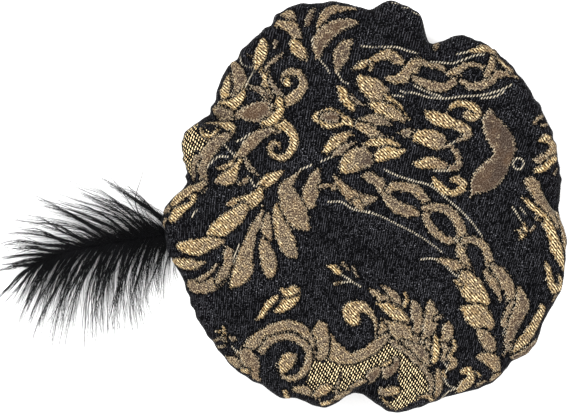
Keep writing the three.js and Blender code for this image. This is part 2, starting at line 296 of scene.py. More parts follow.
# Each crease runs in over the top from the edge: from and to, degrees and share of the reach; deep and
# wide, shares of the crown's rise
TOP_CREASES = [
    (70, 0.93, 66, 0.72, 0.3, 0.26), (90, 1.0, 91, 0.82, 0.14, 0.34), (105, 1.06, 111, 0.84, 0.12, 0.24),
    (151, 0.97, 143, 0.75, 0.3, 0.22), (171, 0.95, 165, 0.76, 0.22, 0.26), (200, 0.98, 204, 0.84, 0.1, 0.3),
    (266, 0.92, 281, 0.83, 0.26, 0.22), (1, 0.94, 12, 0.82, 0.22, 0.24), (313, 1.03, 311, 0.88, 0.1, 0.26),
]
# Each hollow or swell: degrees, share of the reach, deep and wide, shares of the crown's rise
TOP_HOLLOWS = [
    (40, 0.45, 0.1, 1.9), (120, 0.6, -0.07, 1.7), (160, 0.5, 0.09, 1.6), (215, 0.62, -0.07, 1.8),
    (262, 0.5, 0.08, 1.7), (325, 0.6, -0.08, 1.9), (350, 0.3, 0.06, 1.6),
]


def ease(share):
    """A share from 0 to 1, level at both ends."""
    share = np.clip(share, 0, 1)
    return share * share * (3 - 2 * share)


def edge_reach(angle):
    """How far out the crown reaches in a direction."""
    degrees = np.degrees(angle) % 360
    after = np.clip(np.searchsorted(EDGE_FOLDS[:, 0], degrees), 1, len(EDGE_FOLDS) - 1)
    low = EDGE_FOLDS[after - 1]
    high = EDGE_FOLDS[after]
    share = ease((degrees - low[..., 0]) / (high[..., 0] - low[..., 0]))
    return CROWN_REACH * (low[..., 1] + (high[..., 1] - low[..., 1]) * share)


def section(stage, reach):
    """Radius and height of the crown's section before its folds."""
    stage, reach = np.broadcast_arrays(np.asarray(stage, float), np.asarray(reach, float))
    top = np.clip(stage, 0, 1) * math.pi / 2
    turn = np.clip(stage - 1, 0, 1) * math.pi / 2
    under = np.clip(stage - 2, 0, 1)
    lap = np.clip(stage - 3, 0, 1)
    radius = reach * np.sin(top) ** (2 / FULLNESS) - EDGE_ROLL * (1 - np.cos(turn))
    radius = np.where(stage > 2, reach - EDGE_ROLL + (SEAM_RADIUS - reach + EDGE_ROLL) * under, radius)
    radius = radius + (HEM_RADIUS - SEAM_RADIUS) * lap
    cosine = np.clip(np.cos(top), 0, 1)
    height = EDGE_LEVEL + (TOP_LEVEL - EDGE_LEVEL) * cosine ** (2 / FULLNESS) - EDGE_SAG * np.sin(turn)
    height = np.where(stage > 2, UNDER_LEVEL + (HEM_HEIGHT - UNDER_LEVEL) * ease(under), height)
    return radius, height


def section_normal(stage, reach):
    """The section's outward direction: its radial and its upward part."""
    nudge = 1e-4
    ahead = section(stage + nudge, reach)
    behind = section(np.maximum(stage - nudge, 0), reach)
    along = np.stack([ahead[0] - behind[0], ahead[1] - behind[1]])
    along /= np.maximum(np.hypot(along[0], along[1]), 1e-12)
    outward = np.where(stage >= 3, 0, -along[1])
    upward = np.where(stage >= 3, -1, along[0])
    return outward, upward


def plan_point(degrees, share):
    angle = math.radians(degrees)
    return np.array([math.cos(angle), math.sin(angle)]) * CROWN_REACH * share


def top_dent(x, y, narrow=1.0):
    """Depth of the top's creases and hollows; with narrow below 1, of the creases alone, made narrower."""
    dent = np.zeros_like(x)
    for at, out, to_at, to_out, deep, wide in TOP_CREASES:
        start = plan_point(at, out)
        run = plan_point(to_at, to_out) - start
        share = np.clip(((x - start[0]) * run[0] + (y - start[1]) * run[1]) / (run @ run), 0, 1)
        off = np.hypot(x - start[0] - run[0] * share, y - start[1] - run[1] * share)
        off /= wide * narrow * CROWN_RISE
        dent += deep * CROWN_RISE * (1 - ease(share) * CREASE_FADE) * np.exp(-off * off)
    if narrow < 1:
        return dent
    for at, out, deep, wide in TOP_HOLLOWS:
        place = plan_point(at, out)
        off = np.hypot(x - place[0], y - place[1]) / (wide * CROWN_RISE)
        dent += deep * CROWN_RISE * np.exp(-off * off)
    return dent


# Length of cloth from the middle of the top to a stage, for a few reaches; between them it changes evenly
STAGES = np.linspace(0, 4, 1601)
REACHES = np.linspace(0.85, 1.12, 7) * CROWN_REACH
runs = []
for reach in REACHES:
    radii, heights = section(STAGES, reach)
    runs.append(np.concatenate([[0], np.cumsum(np.hypot(np.diff(radii), np.diff(heights)))]))
RUNS = np.array(runs)


def cloth_run(stage, reach):
    """How much cloth lies between the middle of the top and a stage of the section."""
    row = (np.asarray(reach) - REACHES[0]) / (REACHES[1] - REACHES[0])
    low = np.clip(np.floor(row).astype(int), 0, len(REACHES) - 2)
    column = np.asarray(stage) / STAGES[1]
    left = np.clip(np.floor(column).astype(int), 0, len(STAGES) - 2)
    row_share = row - low
    column_share = column - left
    near = RUNS[low, left] * (1 - column_share) + RUNS[low, left + 1] * column_share
    far = RUNS[low + 1, left] * (1 - column_share) + RUNS[low + 1, left + 1] * column_share
    return near * (1 - row_share) + far * row_share


print("Cloth from the middle to the edge and to the hem, mm:",
      round(float(cloth_run(1.0, CROWN_REACH)), 1), round(float(cloth_run(4.0, CROWN_REACH)), 1))

# %% [markdown]
# The cloth is one closed piece: the brocade outside and its lining inside, joined at the hem. Each layer
# starts as a flat square grid, whose square rings become round rings of the crown, so its points are
# evenly spaced and there is no pole in the middle. The rings lie closest on the top, which carries the
# pattern that the photograph shows. Besides the solid's folds it gets finer creases, small puckers along
# the edge and a slight unevenness.

# %% The cloth's grids
TOP_RINGS = 118
TURN_RINGS = 14
UNDER_RINGS = 14
HEM_RINGS = 2
OUTSIDE_RINGS = TOP_RINGS + TURN_RINGS + UNDER_RINGS + HEM_RINGS
LINING_RINGS = 44
LINING_DROP = -0.2  # keeps the two flat grids apart until they take their places


def stages_of_rings():
    """A stage for each ring of the outside, evenly spaced along the cloth of the top."""
    lengths = np.linspace(0, float(cloth_run(1.0, CROWN_REACH)), TOP_RINGS + 1)
    top = np.interp(lengths, cloth_run(STAGES, np.full_like(STAGES, CROWN_REACH)), STAGES)
    turn = 1 + np.arange(1, TURN_RINGS + 1) / TURN_RINGS
    under = 2 + np.arange(1, UNDER_RINGS + 1) / UNDER_RINGS
    hem = 3 + np.arange(1, HEM_RINGS + 1) / HEM_RINGS
    return np.concatenate([top, turn, under, hem])


def square_rings(x, y, rings):
    """The ring number and the turn round it of points on a square grid that runs from -1 to 1."""
    out = np.maximum(np.abs(x), np.abs(y))
    quarter = math.pi / 4
    right_or_left = np.where(x > 0, 0, math.pi) + quarter * y / np.where(x == 0, 1e-9, x)
    top_or_bottom = np.where(y > 0, 1, -1) * math.pi / 2 - quarter * x / np.where(y == 0, 1e-9, y)
    turn = np.where(np.abs(x) >= np.abs(y) - 1e-9, right_or_left, top_or_bottom)
    return out * rings, np.where(out > 1e-6, turn, 0)


crown_bm = bmesh.new()
bmesh.ops.create_grid(crown_bm, x_segments=2 * OUTSIDE_RINGS, y_segments=2 * OUTSIDE_RINGS, size=1)
outside_count = len(crown_bm.verts)
lining = bmesh.ops.create_grid(crown_bm, x_segments=2 * LINING_RINGS, y_segments=2 * LINING_RINGS, size=1)
bmesh.ops.translate(crown_bm, verts=lining["verts"], vec=(0, 0, LINING_DROP))
lining_faces = {face for vert in lining["verts"] for face in vert.link_faces}
bmesh.ops.reverse_faces(crown_bm, faces=list(lining_faces))
for face in lining_faces:
    face.material_index = 1
rims = [edge for edge in crown_bm.edges if edge.is_boundary]
joined = bmesh.ops.bridge_loops(crown_bm, edges=rims)
for face in joined["faces"]:
    face.material_index = 1
crown_mesh = bpy.data.meshes.new("crown_cloth")
crown_bm.to_mesh(crown_mesh)
crown_bm.free()
places = np.zeros(len(crown_mesh.vertices) * 3)
crown_mesh.vertices.foreach_get("co", places)
places = places.reshape(-1, 3)
is_lining = np.arange(len(places)) >= outside_count
print("Crown cloth:", len(crown_mesh.vertices), "points")
print("Faces that join its two layers:", len(joined["faces"]))

# %% Drape the cloth over the crown
UNEVENNESS = 0.35
UNEVEN_WAVES = (22, 60, 12, 11)  # shortest, longest, how many, and the seed
UNEVEN_FADE = 30
UNEVEN_LEAST = 0.2
PUCKER_DEPTH = 0.45
PUCKER_REACH = 26
PUCKER_MIDDLE = 6
PUCKER_EVEN_SHARE = 0.4
PUCKER_PATCHES = (50, 90, 5, 3)  # shortest, longest, how many, and the seed
PUCKERS = [
    # how many round the edge, how unevenly, in how many swells, shifted by, share of the depth
    (61, 2.2, 5, 0, 1),
    (97, 1.9, 4, 1, 0.7),
]
FINE_CREASE = 0.35
FINE_CREASE_WIDTH = 0.42
GATHER_SHARPNESS = 0.35

rings = np.where(is_lining, LINING_RINGS, OUTSIDE_RINGS)
ring, turn = square_rings(places[:, 0], places[:, 1], rings)
ring_stages = stages_of_rings()
inner_shares = np.linspace(0, 1, LINING_RINGS + 1)
inner_stages = np.interp(inner_shares, np.linspace(0, 1, OUTSIDE_RINGS + 1), ring_stages)
stage = np.where(
    is_lining,
    inner_stages[np.clip(np.rint(ring).astype(int), 0, LINING_RINGS)],
    ring_stages[np.clip(np.rint(ring).astype(int), 0, OUTSIDE_RINGS)],
)
angle = turn + GATHER_DRIFT * (np.sin(3 * turn + 0.6) + 0.6 * np.sin(7 * turn + 2.1))
reach = edge_reach(angle)
radius, height = section(stage, reach)
outward, upward = section_normal(stage, reach)
plan_x = radius * np.cos(angle)
plan_y = radius * np.sin(angle)


def soft_waves(x, y, shortest, longest, count, seed):
    """A gentle unevenness between -1 and 1: a few waves in every direction."""
    rng = np.random.default_rng(seed)
    total = np.zeros_like(x)
    for _ in range(count):
        heading = rng.uniform(0, math.pi)
        length = rng.uniform(shortest, longest)
        shift = rng.uniform(0, 2 * math.pi)
        total += np.sin(2 * math.pi * (x * math.cos(heading) + y * math.sin(heading)) / length + shift)
    return total / math.sqrt(count)


firm = 1 - np.clip(stage, 0, 1) ** EDGE_FIRMNESS
dent = top_dent(plan_x, plan_y) * firm + FINE_CREASE * top_dent(plan_x, plan_y, FINE_CREASE_WIDTH) * firm
from_edge = reach - radius
puckers = sum(part * np.sin(count * turn + uneven * np.sin(swells * turn + shift))
              for count, uneven, swells, shift, part in PUCKERS)
patches = soft_waves(plan_x, plan_y, *PUCKER_PATCHES) ** 2
pucker_share = np.exp(-((from_edge - PUCKER_MIDDLE) / PUCKER_REACH) ** 2)
pucker_share = pucker_share * (PUCKER_EVEN_SHARE + (1 - PUCKER_EVEN_SHARE) * patches)
pucker_lift = PUCKER_DEPTH * puckers * pucker_share * (1 - ease(stage - 1))
uneven_lift = UNEVENNESS * soft_waves(plan_x, plan_y, *UNEVEN_WAVES)
uneven_lift = uneven_lift * np.clip(from_edge / UNEVEN_FADE, UNEVEN_LEAST, 1)
small_relief = np.where(stage < 2, uneven_lift + pucker_lift, 0)
swell = np.where(stage < GATHER_CREST, (stage - 1) / (GATHER_CREST - 1), (3 - stage) / (3 - GATHER_CREST))
fold = np.cos(GATHERS * turn + GATHER_SHARPNESS * np.sin(2 * GATHERS * turn))
gather = np.where((stage > 1) & (stage < 3), GATHER_DEPTH * ease(swell) * fold, 0)
lift = gather - np.where(stage <= 1, dent, 0) + np.where(is_lining, -CROWN_WALL, small_relief)
print("Small relief of the cloth, mm:",
      round(float(small_relief.min()), 2), round(float(small_relief.max()), 2))

# %% [markdown]
# The pattern is woven in, so it belongs to the flat cloth and not to the crown. Each point of the mesh
# gets its place in the cloth as it was cut: the length of cloth from the middle, in its own direction.
# The weave's threads lean a little, more towards the right, as the photograph shows, because the cloth
# was pulled askew as it was gathered.

# %% Places in the flat cloth
LEAN_MIDDLE = 0.2
LEAN_GROWTH = 1.0 / 1000
LEAN_MOST = 0.4

run = cloth_run(stage, reach)
cloth_x = run * np.cos(angle)
cloth_y = run * np.sin(angle)
thread_lean = np.clip(LEAN_MIDDLE + LEAN_GROWTH * cloth_x, 0, LEAN_MOST)
weave = np.stack([cloth_x - thread_lean * cloth_y, cloth_y, np.zeros_like(cloth_x)], axis=1) * MM


def cloth_of_pixel(x, y):
    """The place in the flat cloth of a place in the photograph."""
    across = (x - AXIS_PIXEL[0]) * PIXEL / MM
    along = (AXIS_PIXEL[1] - y) * PIXEL / MM
    out = np.maximum(np.hypot(across, along), 1e-6)
    direction = np.arctan2(along, across)
    limit = edge_reach(direction)
    share = np.clip(out / limit, 0, 1)
    length = cloth_run(2 / math.pi * np.arcsin(share ** (FULLNESS / 2)), limit)
    length = length + np.maximum(out - limit, 0)
    return np.stack([length * across / out, length * along / out], axis=-1)


# %% [markdown]
# The brocade's scrolls, leaves and plaited bands are a common traditional pattern. They are charted from
# the photograph as brush strokes: each has a few points with a half width, in pixels of the photograph,
# and how golden it is at its start and at its end, from 0, bronze, to 1, gold.

# %% The pattern's chart
MOTIFS = {
    "leaves at the upper left edge": [
        (0.5, 0.3, [(283, 15, 3), (289, 14, 5), (292, 18, 4), (288, 23, 4)]),
        (0.6, 0.2, [(275, 25, 2), (284, 26, 5), (292, 29, 7), (297, 37, 5), (296, 43, 4)]),
        (0.9, 0.4, [(293, 43, 3), (296, 48, 7), (301, 54, 6), (307, 61, 1)]),
        (0.6, 0.9, [(229, 76, 2), (227, 84, 4.5), (225, 93, 6), (227, 100, 5)]),
        (0.35, 0.15, [(233, 62, 3), (236, 68, 5), (239, 76, 7), (241, 85, 7.5), (239, 94, 6),
            (234, 99, 3)]),
        (0.9, 0.8, [(219, 104, 3), (226, 106, 5.5), (235, 104, 6), (242, 97, 4.5), (245, 90, 2)]),
        (0.4, 0.1, [(213, 110, 3), (220, 113, 7), (229, 115, 5), (238, 117, 2)]),
    ],
    "sprig above the volutes": [
        (0.2, 0.9, [(272, 104, 4), (267, 97, 6), (267, 87, 6), (266, 77, 4), (260, 69, 3)]),
        (0.6, 0.6, [(254, 60, 2), (248, 56, 1.4)]),
        (0.1, 0.1, [(266, 70, 2.4), (273, 62, 2.6), (284, 55, 1.6)]),
        (0, 0, [(275, 43, 3), (276, 48, 2)]),
        (0, 0, [(252, 88, 2.2), (261, 91, 3), (267, 97, 2)]),
        (0, 0, [(270, 78, 1.5), (273, 86, 3), (279, 94, 3.4), (287, 97, 1.5)]),
        (0.7, 0.9, [(263, 40, 2.5), (263, 47, 6), (261, 55, 6.8), (258, 63, 5), (256, 70, 2)]),
    ],
    "pair of volutes and their leaf": [
        (0.1, 0.1, [(233, 116, 1.2), (242, 114, 4.5), (251, 113.5, 8.5), (262, 113, 11), (273, 112, 9)]),
        (0.3, 0.6, [(287, 83, 5), (283, 78, 3), (289, 73, 3.5), (298, 74, 4), (303, 82, 4.5),
            (301, 91, 5.5), (293, 99, 6), (283, 104, 5.5), (276, 106, 5)]),
        (0.9, 0.9, [(287, 83, 4.5), (287, 84, 4.5)]),
        (0.45, 0.15, [(230, 166, 2), (237, 159, 4), (244, 151, 5.5), (251, 143, 6.5), (259, 136, 6.5),
            (269, 131.5, 4.5), (281, 131, 2.5)]),
        (0.2, 0.1, [(257, 174, 1.5), (250, 168, 3), (246, 161, 2.6)]),
        (0.9, 0.4, [(262, 124, 2), (271, 122, 5), (281, 124, 6), (289, 130, 5.5), (294, 139, 5),
            (292, 149, 4.6), (287, 156, 4), (280, 158.5, 3.6), (273, 155, 3.5), (270, 149, 3.5),
            (273, 143.5, 3), (278, 144, 2.6), (280, 149, 1.8)]),
        (1, 1, [(279, 103, 5), (281, 110, 4), (277, 117, 5), (270, 122, 4.5), (263, 124, 3)]),
    ],
    "bulge at the left edge": [
        (0.9, 0.9, [(201, 129, 2), (204, 135, 3), (211, 137, 3), (217, 132, 3), (218, 125, 2)]),
        (0.35, 0.9, [(204, 122, 1.5), (214, 122, 2.5), (224, 125, 4), (232, 128, 4.5), (229, 137, 4)]),
        (0.25, 0.35, [(228, 136, 4), (219, 141, 6), (210, 150, 7), (204, 160, 6.5), (201, 170, 5.5),
            (203, 181, 5), (203, 191, 3)]),
        (0.25, 0.25, [(197, 158, 3.5), (193, 167, 3), (190, 178, 2.5)]),
        (0.8, 0.5, [(233, 161, 1.5), (228, 167, 4), (218, 168, 2)]),
        (0.35, 0.9, [(215, 182, 1.5), (222, 179, 5), (229, 178, 8), (235, 170, 4), (240, 161, 2.5)]),
        (0.25, 0.45, [(240, 184, 2), (246, 180, 2.6), (250, 178, 1.6)]),
        (0.25, 0.25, [(252, 170, 2), (258, 176, 1.2)]),
    ],
    "leaves at the left edge": [
        (0.8, 0.5, [(171, 206, 3.5), (178, 198, 6), (186, 192, 7), (195, 189, 6), (202, 184, 4)]),
        (0.3, 0.3, [(163, 212, 2.5), (168, 209, 4)]),
        (0.9, 0.9, [(172, 221, 2.5), (176, 214, 6), (184, 208, 4), (191, 204, 3), (195, 196, 3.5)]),
        (0.3, 0.3, [(164, 226, 2), (167, 219, 2)]),
    ],
    "left fan": [
        (0.7, 0.8, [(284, 171, 1), (277, 175, 4), (269, 180, 6.5), (262, 186, 5.5), (260, 191, 3.5)]),
        (0.8, 0.6, [(260, 190, 3.5), (258, 196, 6), (251, 201, 8), (242, 203, 7), (234, 203, 4.5),
            (228, 204, 2)]),
        (0.6, 0.9, [(243, 208, 6), (238, 215, 8.5), (230, 221, 9.5), (221, 228, 9.5), (214, 233, 7),
            (208, 234, 2)]),
        (1, 0.4, [(176, 245, 1), (186, 247, 6.5), (197, 247, 9), (208, 244, 7.5), (217, 242, 5),
            (224, 241, 2)]),
        (0.9, 0.42, [(171, 261, 2), (178, 262, 5), (187, 264, 6.5), (196, 264, 5), (205, 262, 1.5)]),
        (0.32, 0.4, [(188, 284, 3.5), (196, 286, 7.5), (206, 285, 8), (215, 283, 6), (224, 278, 4),
            (229, 271, 3)]),
        (0.4, 0.32, [(200, 279, 3), (207, 275, 3), (212, 271, 2.2), (218, 264, 1.2)]),
        (0.4, 0.32, [(218, 281, 3), (223, 274, 5), (228, 265, 5), (229, 256, 5.5), (229, 251, 5)]),
        (0.22, 0.6, [(263, 206, 1.2), (262, 214, 2.5), (258, 222, 4), (253, 232, 5), (250, 241, 5.5),
            (247, 250, 7), (245, 259, 8.5), (244, 268, 10), (240, 276, 8.5), (234, 283, 4.5),
            (231, 287, 1.5)]),
        (0.32, 0.42, [(268, 215, 2.5), (267, 223, 4.5), (267, 231, 5.5), (268, 238, 5)]),
        (0.4, 0.5, [(263, 241, 3), (265, 248, 6.5), (268, 257, 8), (270, 266, 8), (270, 273, 5)]),
        (0.6, 0.32, [(276, 204, 1.5), (277, 212, 4.5), (279, 222, 6.5), (283, 232, 8.5), (287, 242, 9),
            (291, 251, 6.5), (297, 257, 1.5)]),
        (0.32, 0.42, [(300, 172, 1.2), (292, 180, 3.4), (286, 188, 7), (289, 198, 10), (294, 209, 12),
            (299, 219, 10), (308, 229, 2)]),
        (0.22, 0.42, [(318, 169, 1.8), (315, 177, 5), (313, 187, 8.5), (309, 197, 7.5), (312, 205, 4)]),
        (0.32, 0.32, [(320, 187, 2.4), (327, 185, 2.2), (333, 188, 3)]),
    ],
    "plaited band through the middle": [
        (0.5, 0.3, [(334, 176, 1.5), (339, 184, 4), (347, 192, 5.5), (356, 199, 7), (366, 200, 5.5),
            (376, 198, 1.5)]),
        (0.4, 0.3, [(357, 203, 5), (361, 208, 3)]),
        (0.3, 0.3, [(362, 177, 2), (369, 177, 5), (378, 183, 5.5), (384, 192, 5), (389, 201, 5.5),
            (398, 208, 6.5), (408, 211, 6), (416, 213, 3)]),
        (0.4, 0.3, [(388, 190, 4), (395, 186, 5), (405, 187, 5), (415, 190, 5), (422, 197, 5),
            (426, 206, 5), (425, 216, 4.5), (429, 226, 4.5), (437, 234, 4.5), (446, 240, 4),
            (455, 241, 4)]),
        (0.3, 0.4, [(424, 208, 3.5), (434, 207, 4.5), (444, 209, 5), (453, 216, 5), (458, 225, 5),
            (461, 235, 5.5), (459, 246, 5), (461, 256, 5), (466, 265, 4.5), (471, 273, 2.5)]),
        (0.3, 0.4, [(463, 240, 4), (473, 240, 4), (481, 244, 4.5), (486, 253, 4.5), (488, 263, 4.5)]),
        (0.4, 0.3, [(484, 271, 3), (489, 279, 4.5), (495, 288, 4), (499, 300, 1.6)]),
        (0.3, 0.4, [(491, 266, 3), (499, 273, 6), (505, 283, 6.5), (509, 293, 5.5), (508, 303, 3)]),
        (0.5, 0.4, [(436, 259, 1.8), (447, 262, 4.5), (457, 267, 5), (466, 272, 4)]),
    ],
    "plaited band at the upper right": [
        (0.7, 0.4, [(354, 70, 2), (362, 66, 4), (370, 63, 4.5), (378, 58, 4.5), (388, 55.5, 6),
            (396, 60, 5.5), (404, 65, 2)]),
        (0.5, 0.5, [(370, 72, 1.5), (371, 66, 3)]),
        (0.5, 0.3, [(388, 80, 3.5), (398, 80, 5.5), (406, 75, 7), (413, 67, 7), (419, 62, 4),
            (428, 64, 3.5), (438, 67, 3.5), (447, 73, 3)]),
        (0.3, 0.3, [(413, 79, 3), (421, 83, 4.5), (431, 86.5, 5), (443, 87.5, 4.8), (452, 83, 4.5),
            (458, 77, 3)]),
        (0.4, 0.3, [(448, 74, 3), (455, 72, 4), (463, 67, 3.5), (473, 65, 3), (482, 68, 2.5)]),
        (0.3, 0.3, [(460, 82, 3), (470, 86.5, 4), (480, 86.5, 4.2), (489, 81, 5), (497, 75, 4.5),
            (507, 74.5, 3.5), (517, 77, 2)]),
        (0.5, 0.4, [(495, 50, 3), (493, 58, 4), (490, 67, 4.5), (486, 75, 4)]),
        (0.5, 0.5, [(497, 58, 2.5), (503, 65, 3), (511, 72, 3)]),
        (0.8, 0.4, [(469, 52, 2), (478, 50, 4), (488, 49, 5), (494, 53, 3)]),
    ],
    "leaves at the top": [
        (0.4, 0.3, [(318, 31, 2), (320, 23, 4), (325, 15, 5), (334, 10, 5), (345, 9, 3.5), (355, 9, 2)]),
        (0.2, 0.2, [(318, 58, 3), (318, 48, 6), (322, 40, 8.5), (329, 32, 8.5), (338, 27, 7), (348, 24, 5),
            (357, 23, 2)]),
        (0.2, 0.3, [(337, 72, 2.4), (338, 64, 5), (341, 56, 8.5), (344, 48, 6.5), (350, 42, 2.5)]),
        (0, 0, [(307, 24, 3), (310, 14, 3), (313, 7, 2)]),
        (0.3, 0.3, [(436, 43, 2.6), (437, 47, 1.6)]),
    ],
    "leaves below the upper band": [
        (0.9, 0.2, [(359, 78, 3), (365, 85, 8), (373, 90, 11), (381, 95, 8), (386, 100, 3)]),
        (1, 0.8, [(338, 88, 2), (342, 93, 5), (346, 100, 6), (351, 108, 4), (353, 111, 1.6)]),
        (0, 0, [(350, 95, 1.6), (355, 102, 2), (364, 106, 1.4)]),
        (1, 0.7, [(385, 96, 2), (389, 102, 5), (396, 108, 5.5), (402, 114, 3), (409, 120, 1.5)]),
        (0.9, 0.4, [(370, 104, 2.5), (377, 108, 6), (387, 112, 8), (397, 117, 5), (404, 121, 1.8)]),
        (0.9, 0.8, [(312, 117.5, 1.2), (320, 118, 7), (329, 119, 11), (338, 120, 8), (345, 121.5, 5),
            (352, 123.5, 4.5), (359, 126, 5)]),
        (0, 0, [(322, 117, 3), (330, 118, 5), (336, 119, 4)]),
        (0.4, 0.1, [(358, 124, 4), (367, 122, 6), (377, 121, 5.5), (385, 123, 3), (391, 125, 1.4)]),
        (0.6, 0.2, [(358, 126, 4), (367, 130, 5.5), (374, 134, 5), (383, 138, 2.6), (391, 138, 1.2)]),
        (0.8, 0.7, [(363, 145, 2), (372, 143, 4.5), (382, 143, 5.5), (391, 146, 6), (399, 146, 1.5)]),
        (1, 0.8, [(373, 161, 2.5), (380, 156, 6.5), (388, 153, 6.5), (396, 154, 4.5), (404, 150, 1.5)]),
        (1, 0.4, [(323, 153, 1.8), (329, 149, 5.5), (335, 143, 7), (341, 138, 5.5), (348, 135, 3),
            (354, 136, 1.4)]),
        (0.2, 0, [(333, 155, 2.5), (341, 151, 4), (346, 146, 3), (356, 143, 1.2)]),
        (0.9, 0.1, [(341, 172, 2), (347, 166, 8), (354, 161, 11.5), (361, 157, 10), (366, 161, 7)]),
    ],
    "leaves right of the middle": [
        (0.2, 0.2, [(398, 133, 1.6), (406, 133, 4), (415, 135, 5.5)]),
        (1, 0, [(417, 137, 6), (426, 138, 9), (435, 141, 9.5), (443, 144, 5), (448, 145, 2)]),
        (1, 0.2, [(424, 113, 1.8), (432, 117, 6), (442, 121, 7.5), (452, 124, 5.5), (461, 128, 5.5),
            (467, 132, 5), (464, 138, 3), (456, 141, 1.4)]),
        (0.9, 0.6, [(448, 110, 2), (454, 105, 3.6), (462, 104, 3.8), (471, 107, 4.6), (477, 113, 4),
            (473, 118, 4), (467, 116, 5)]),
        (1, 0.2, [(413, 163, 1.8), (421, 164, 5), (431, 163, 6.5), (440, 165, 5), (447, 168, 3)]),
        (0.3, 0.1, [(447, 145, 1.6), (453, 150, 2.6), (457, 158, 3.6), (457, 166, 4), (450, 169, 3.5)]),
        (0.9, 0.6, [(432, 178, 1.8), (437, 185, 4.5), (444, 191, 4.5), (451, 193, 3.5), (459, 190, 4.5),
            (463, 184, 4), (456, 180, 4.5), (450, 180, 2)]),
        (0.05, 0, [(489, 112, 3), (489, 122, 8), (495, 133, 12), (503, 146, 12), (500, 160, 10),
            (492, 172, 13), (482, 181, 12), (474, 189, 5), (470, 197, 1.2)]),
    ],
    "leaves at the right edge": [
        (0.3, 0.3, [(533, 124, 1.6), (537, 119, 2), (543, 116, 1.8)]),
        (0.2, 0.2, [(541, 126, 2), (547, 124, 2)]),
        (0.8, 0.2, [(538, 141, 1.8), (544, 139, 4.5), (550, 141, 5.5), (553, 149, 6), (549, 157, 7),
            (541, 160, 5), (533, 160, 2)]),
        (1, 0.9, [(535, 171, 3), (543, 168, 4), (550, 162, 4), (556, 158, 3)]),
        (0.3, 0.3, [(554, 174, 1.6), (556, 169, 1.4)]),
        (0.4, 0.3, [(524, 181, 2), (531, 184, 7), (537, 194, 7), (543, 205, 7), (550, 215, 7),
            (558, 222, 6)]),
        (1, 0.8, [(521, 198, 1.6), (528, 204, 3.6), (536, 211, 4), (543, 219, 5), (549, 229, 6),
            (552, 239, 6), (556, 250, 7), (560, 260, 5), (564, 270, 2)]),
        (0.3, 0.5, [(558, 215, 4), (562, 227, 5), (564, 240, 4), (565, 252, 2)]),
        (0.8, 0.7, [(544, 262, 2), (547, 270, 3.6), (549, 280, 4.2), (553, 289, 5), (559, 288, 4),
            (560, 280, 3.4), (557, 275, 1.6)]),
        (0.3, 0.3, [(553, 299, 2.4), (556, 295, 2)]),
        (0.9, 0.9, [(514, 230, 1.2), (520, 230, 3), (522, 233, 4.4), (519, 239, 1.4)]),
        (0.7, 0.7, [(522, 223, 1.8), (524, 230, 3)]),
        (0.4, 0.4, [(529, 231, 1.6), (533, 226, 1.8)]),
        (0.8, 0.8, [(535, 218, 1.8), (540, 221, 1.6)]),
    ],
    "leaves at the lower right": [
        (0.5, 0.9, [(461, 272, 3), (466, 280, 9), (471, 289, 12), (478, 296, 9), (486, 302, 3)]),
        (0.8, 0.8, [(452, 279, 1), (458, 284, 3)]),
        (0.9, 0.5, [(460, 307, 1.8), (468, 311, 7), (476, 315, 12), (484, 321, 9), (491, 326, 2)]),
        (0.5, 0.3, [(476, 330, 2), (482, 334, 6), (487, 341, 7.5), (491, 349, 5)]),
        (0.5, 0.5, [(477, 355, 2.5), (485, 357, 6), (492, 361, 7.5), (496, 368, 5), (498, 374, 2.5)]),
        (0.4, 0.4, [(490, 379, 2), (495, 376, 4), (500, 373, 2)]),
        (0.2, 0.2, [(503, 323, 4), (507, 313, 5), (510, 304, 4)]),
        (0.1, 0.4, [(505, 347, 3), (508, 337, 5), (513, 322, 6.5), (520, 308, 8), (520, 297, 6),
            (517, 286, 1.5)]),
        (0.7, 0.7, [(515, 352, 5), (522, 341, 6.5), (530, 330, 6), (537, 318, 5.5), (541, 309, 4),
            (539, 305, 2)]),
        (0.2, 0.2, [(515, 357, 5), (525, 351, 5.5), (535, 342, 4.5), (540, 334, 3), (542, 330, 1.6)]),
        (0.8, 0.6, [(461, 371, 3), (467, 370, 4.5), (471, 375, 4), (467, 382, 6), (462, 387, 6),
            (458, 391, 3)]),
        (0.9, 0.9, [(476, 371, 1.8), (479, 376, 1.8)]),
        (0.4, 0.4, [(478, 384, 3), (484, 381, 2)]),
        (0.2, 0.2, [(503, 357, 1.8), (508, 348, 2.4), (510, 344, 1.6)]),
    ],
    "crown of leaves at the bottom": [
        (0.3, 0.2, [(379, 284, 1), (387, 289, 2.5), (393, 296, 5), (399, 304, 4)]),
        (0.4, 0.3, [(369, 288, 1.5), (376, 294, 3.4), (383, 299, 4), (390, 303, 3)]),
        (1, 0.6, [(377, 303, 1.5), (386, 307, 5), (396, 313, 7), (404, 320, 5)]),
        (0.5, 0.4, [(381, 320, 1.8), (389, 325, 5), (400, 331, 9), (412, 336, 8), (422, 343, 3)]),
        (0.9, 0.9, [(404, 292, 1.6), (406, 299, 2.6), (404, 305, 2.4)]),
        (0.3, 0.3, [(413, 302, 3), (416, 312, 6.5), (418, 322, 6), (416, 330, 4)]),
        (0.4, 0.3, [(429, 302, 3), (430, 312, 6.5), (430, 322, 7.5), (427, 332, 6), (424, 340, 4)]),
        (0.3, 0.3, [(440, 315, 1.8), (435, 318, 2.4)]),
        (0.4, 0.4, [(446, 324, 4), (447, 331, 6.5), (444, 339, 4.5)]),
        (0.2, 0.3, [(401, 341, 2), (410, 347, 6), (420, 352, 8), (428, 359, 7)]),
        (0.3, 0.3, [(427, 341, 3), (430, 348, 4)]),
        (1, 1, [(434, 334, 2), (435, 342, 4), (435, 352, 4), (433, 360, 3.5)]),
        (0.3, 0.3, [(443, 344, 3), (445, 351, 4), (443, 358, 3)]),
        (0.8, 0.4, [(453, 340, 2.2), (453, 348, 2.6), (449, 355, 2.4), (453, 362, 4.4), (449, 367, 3.4)]),
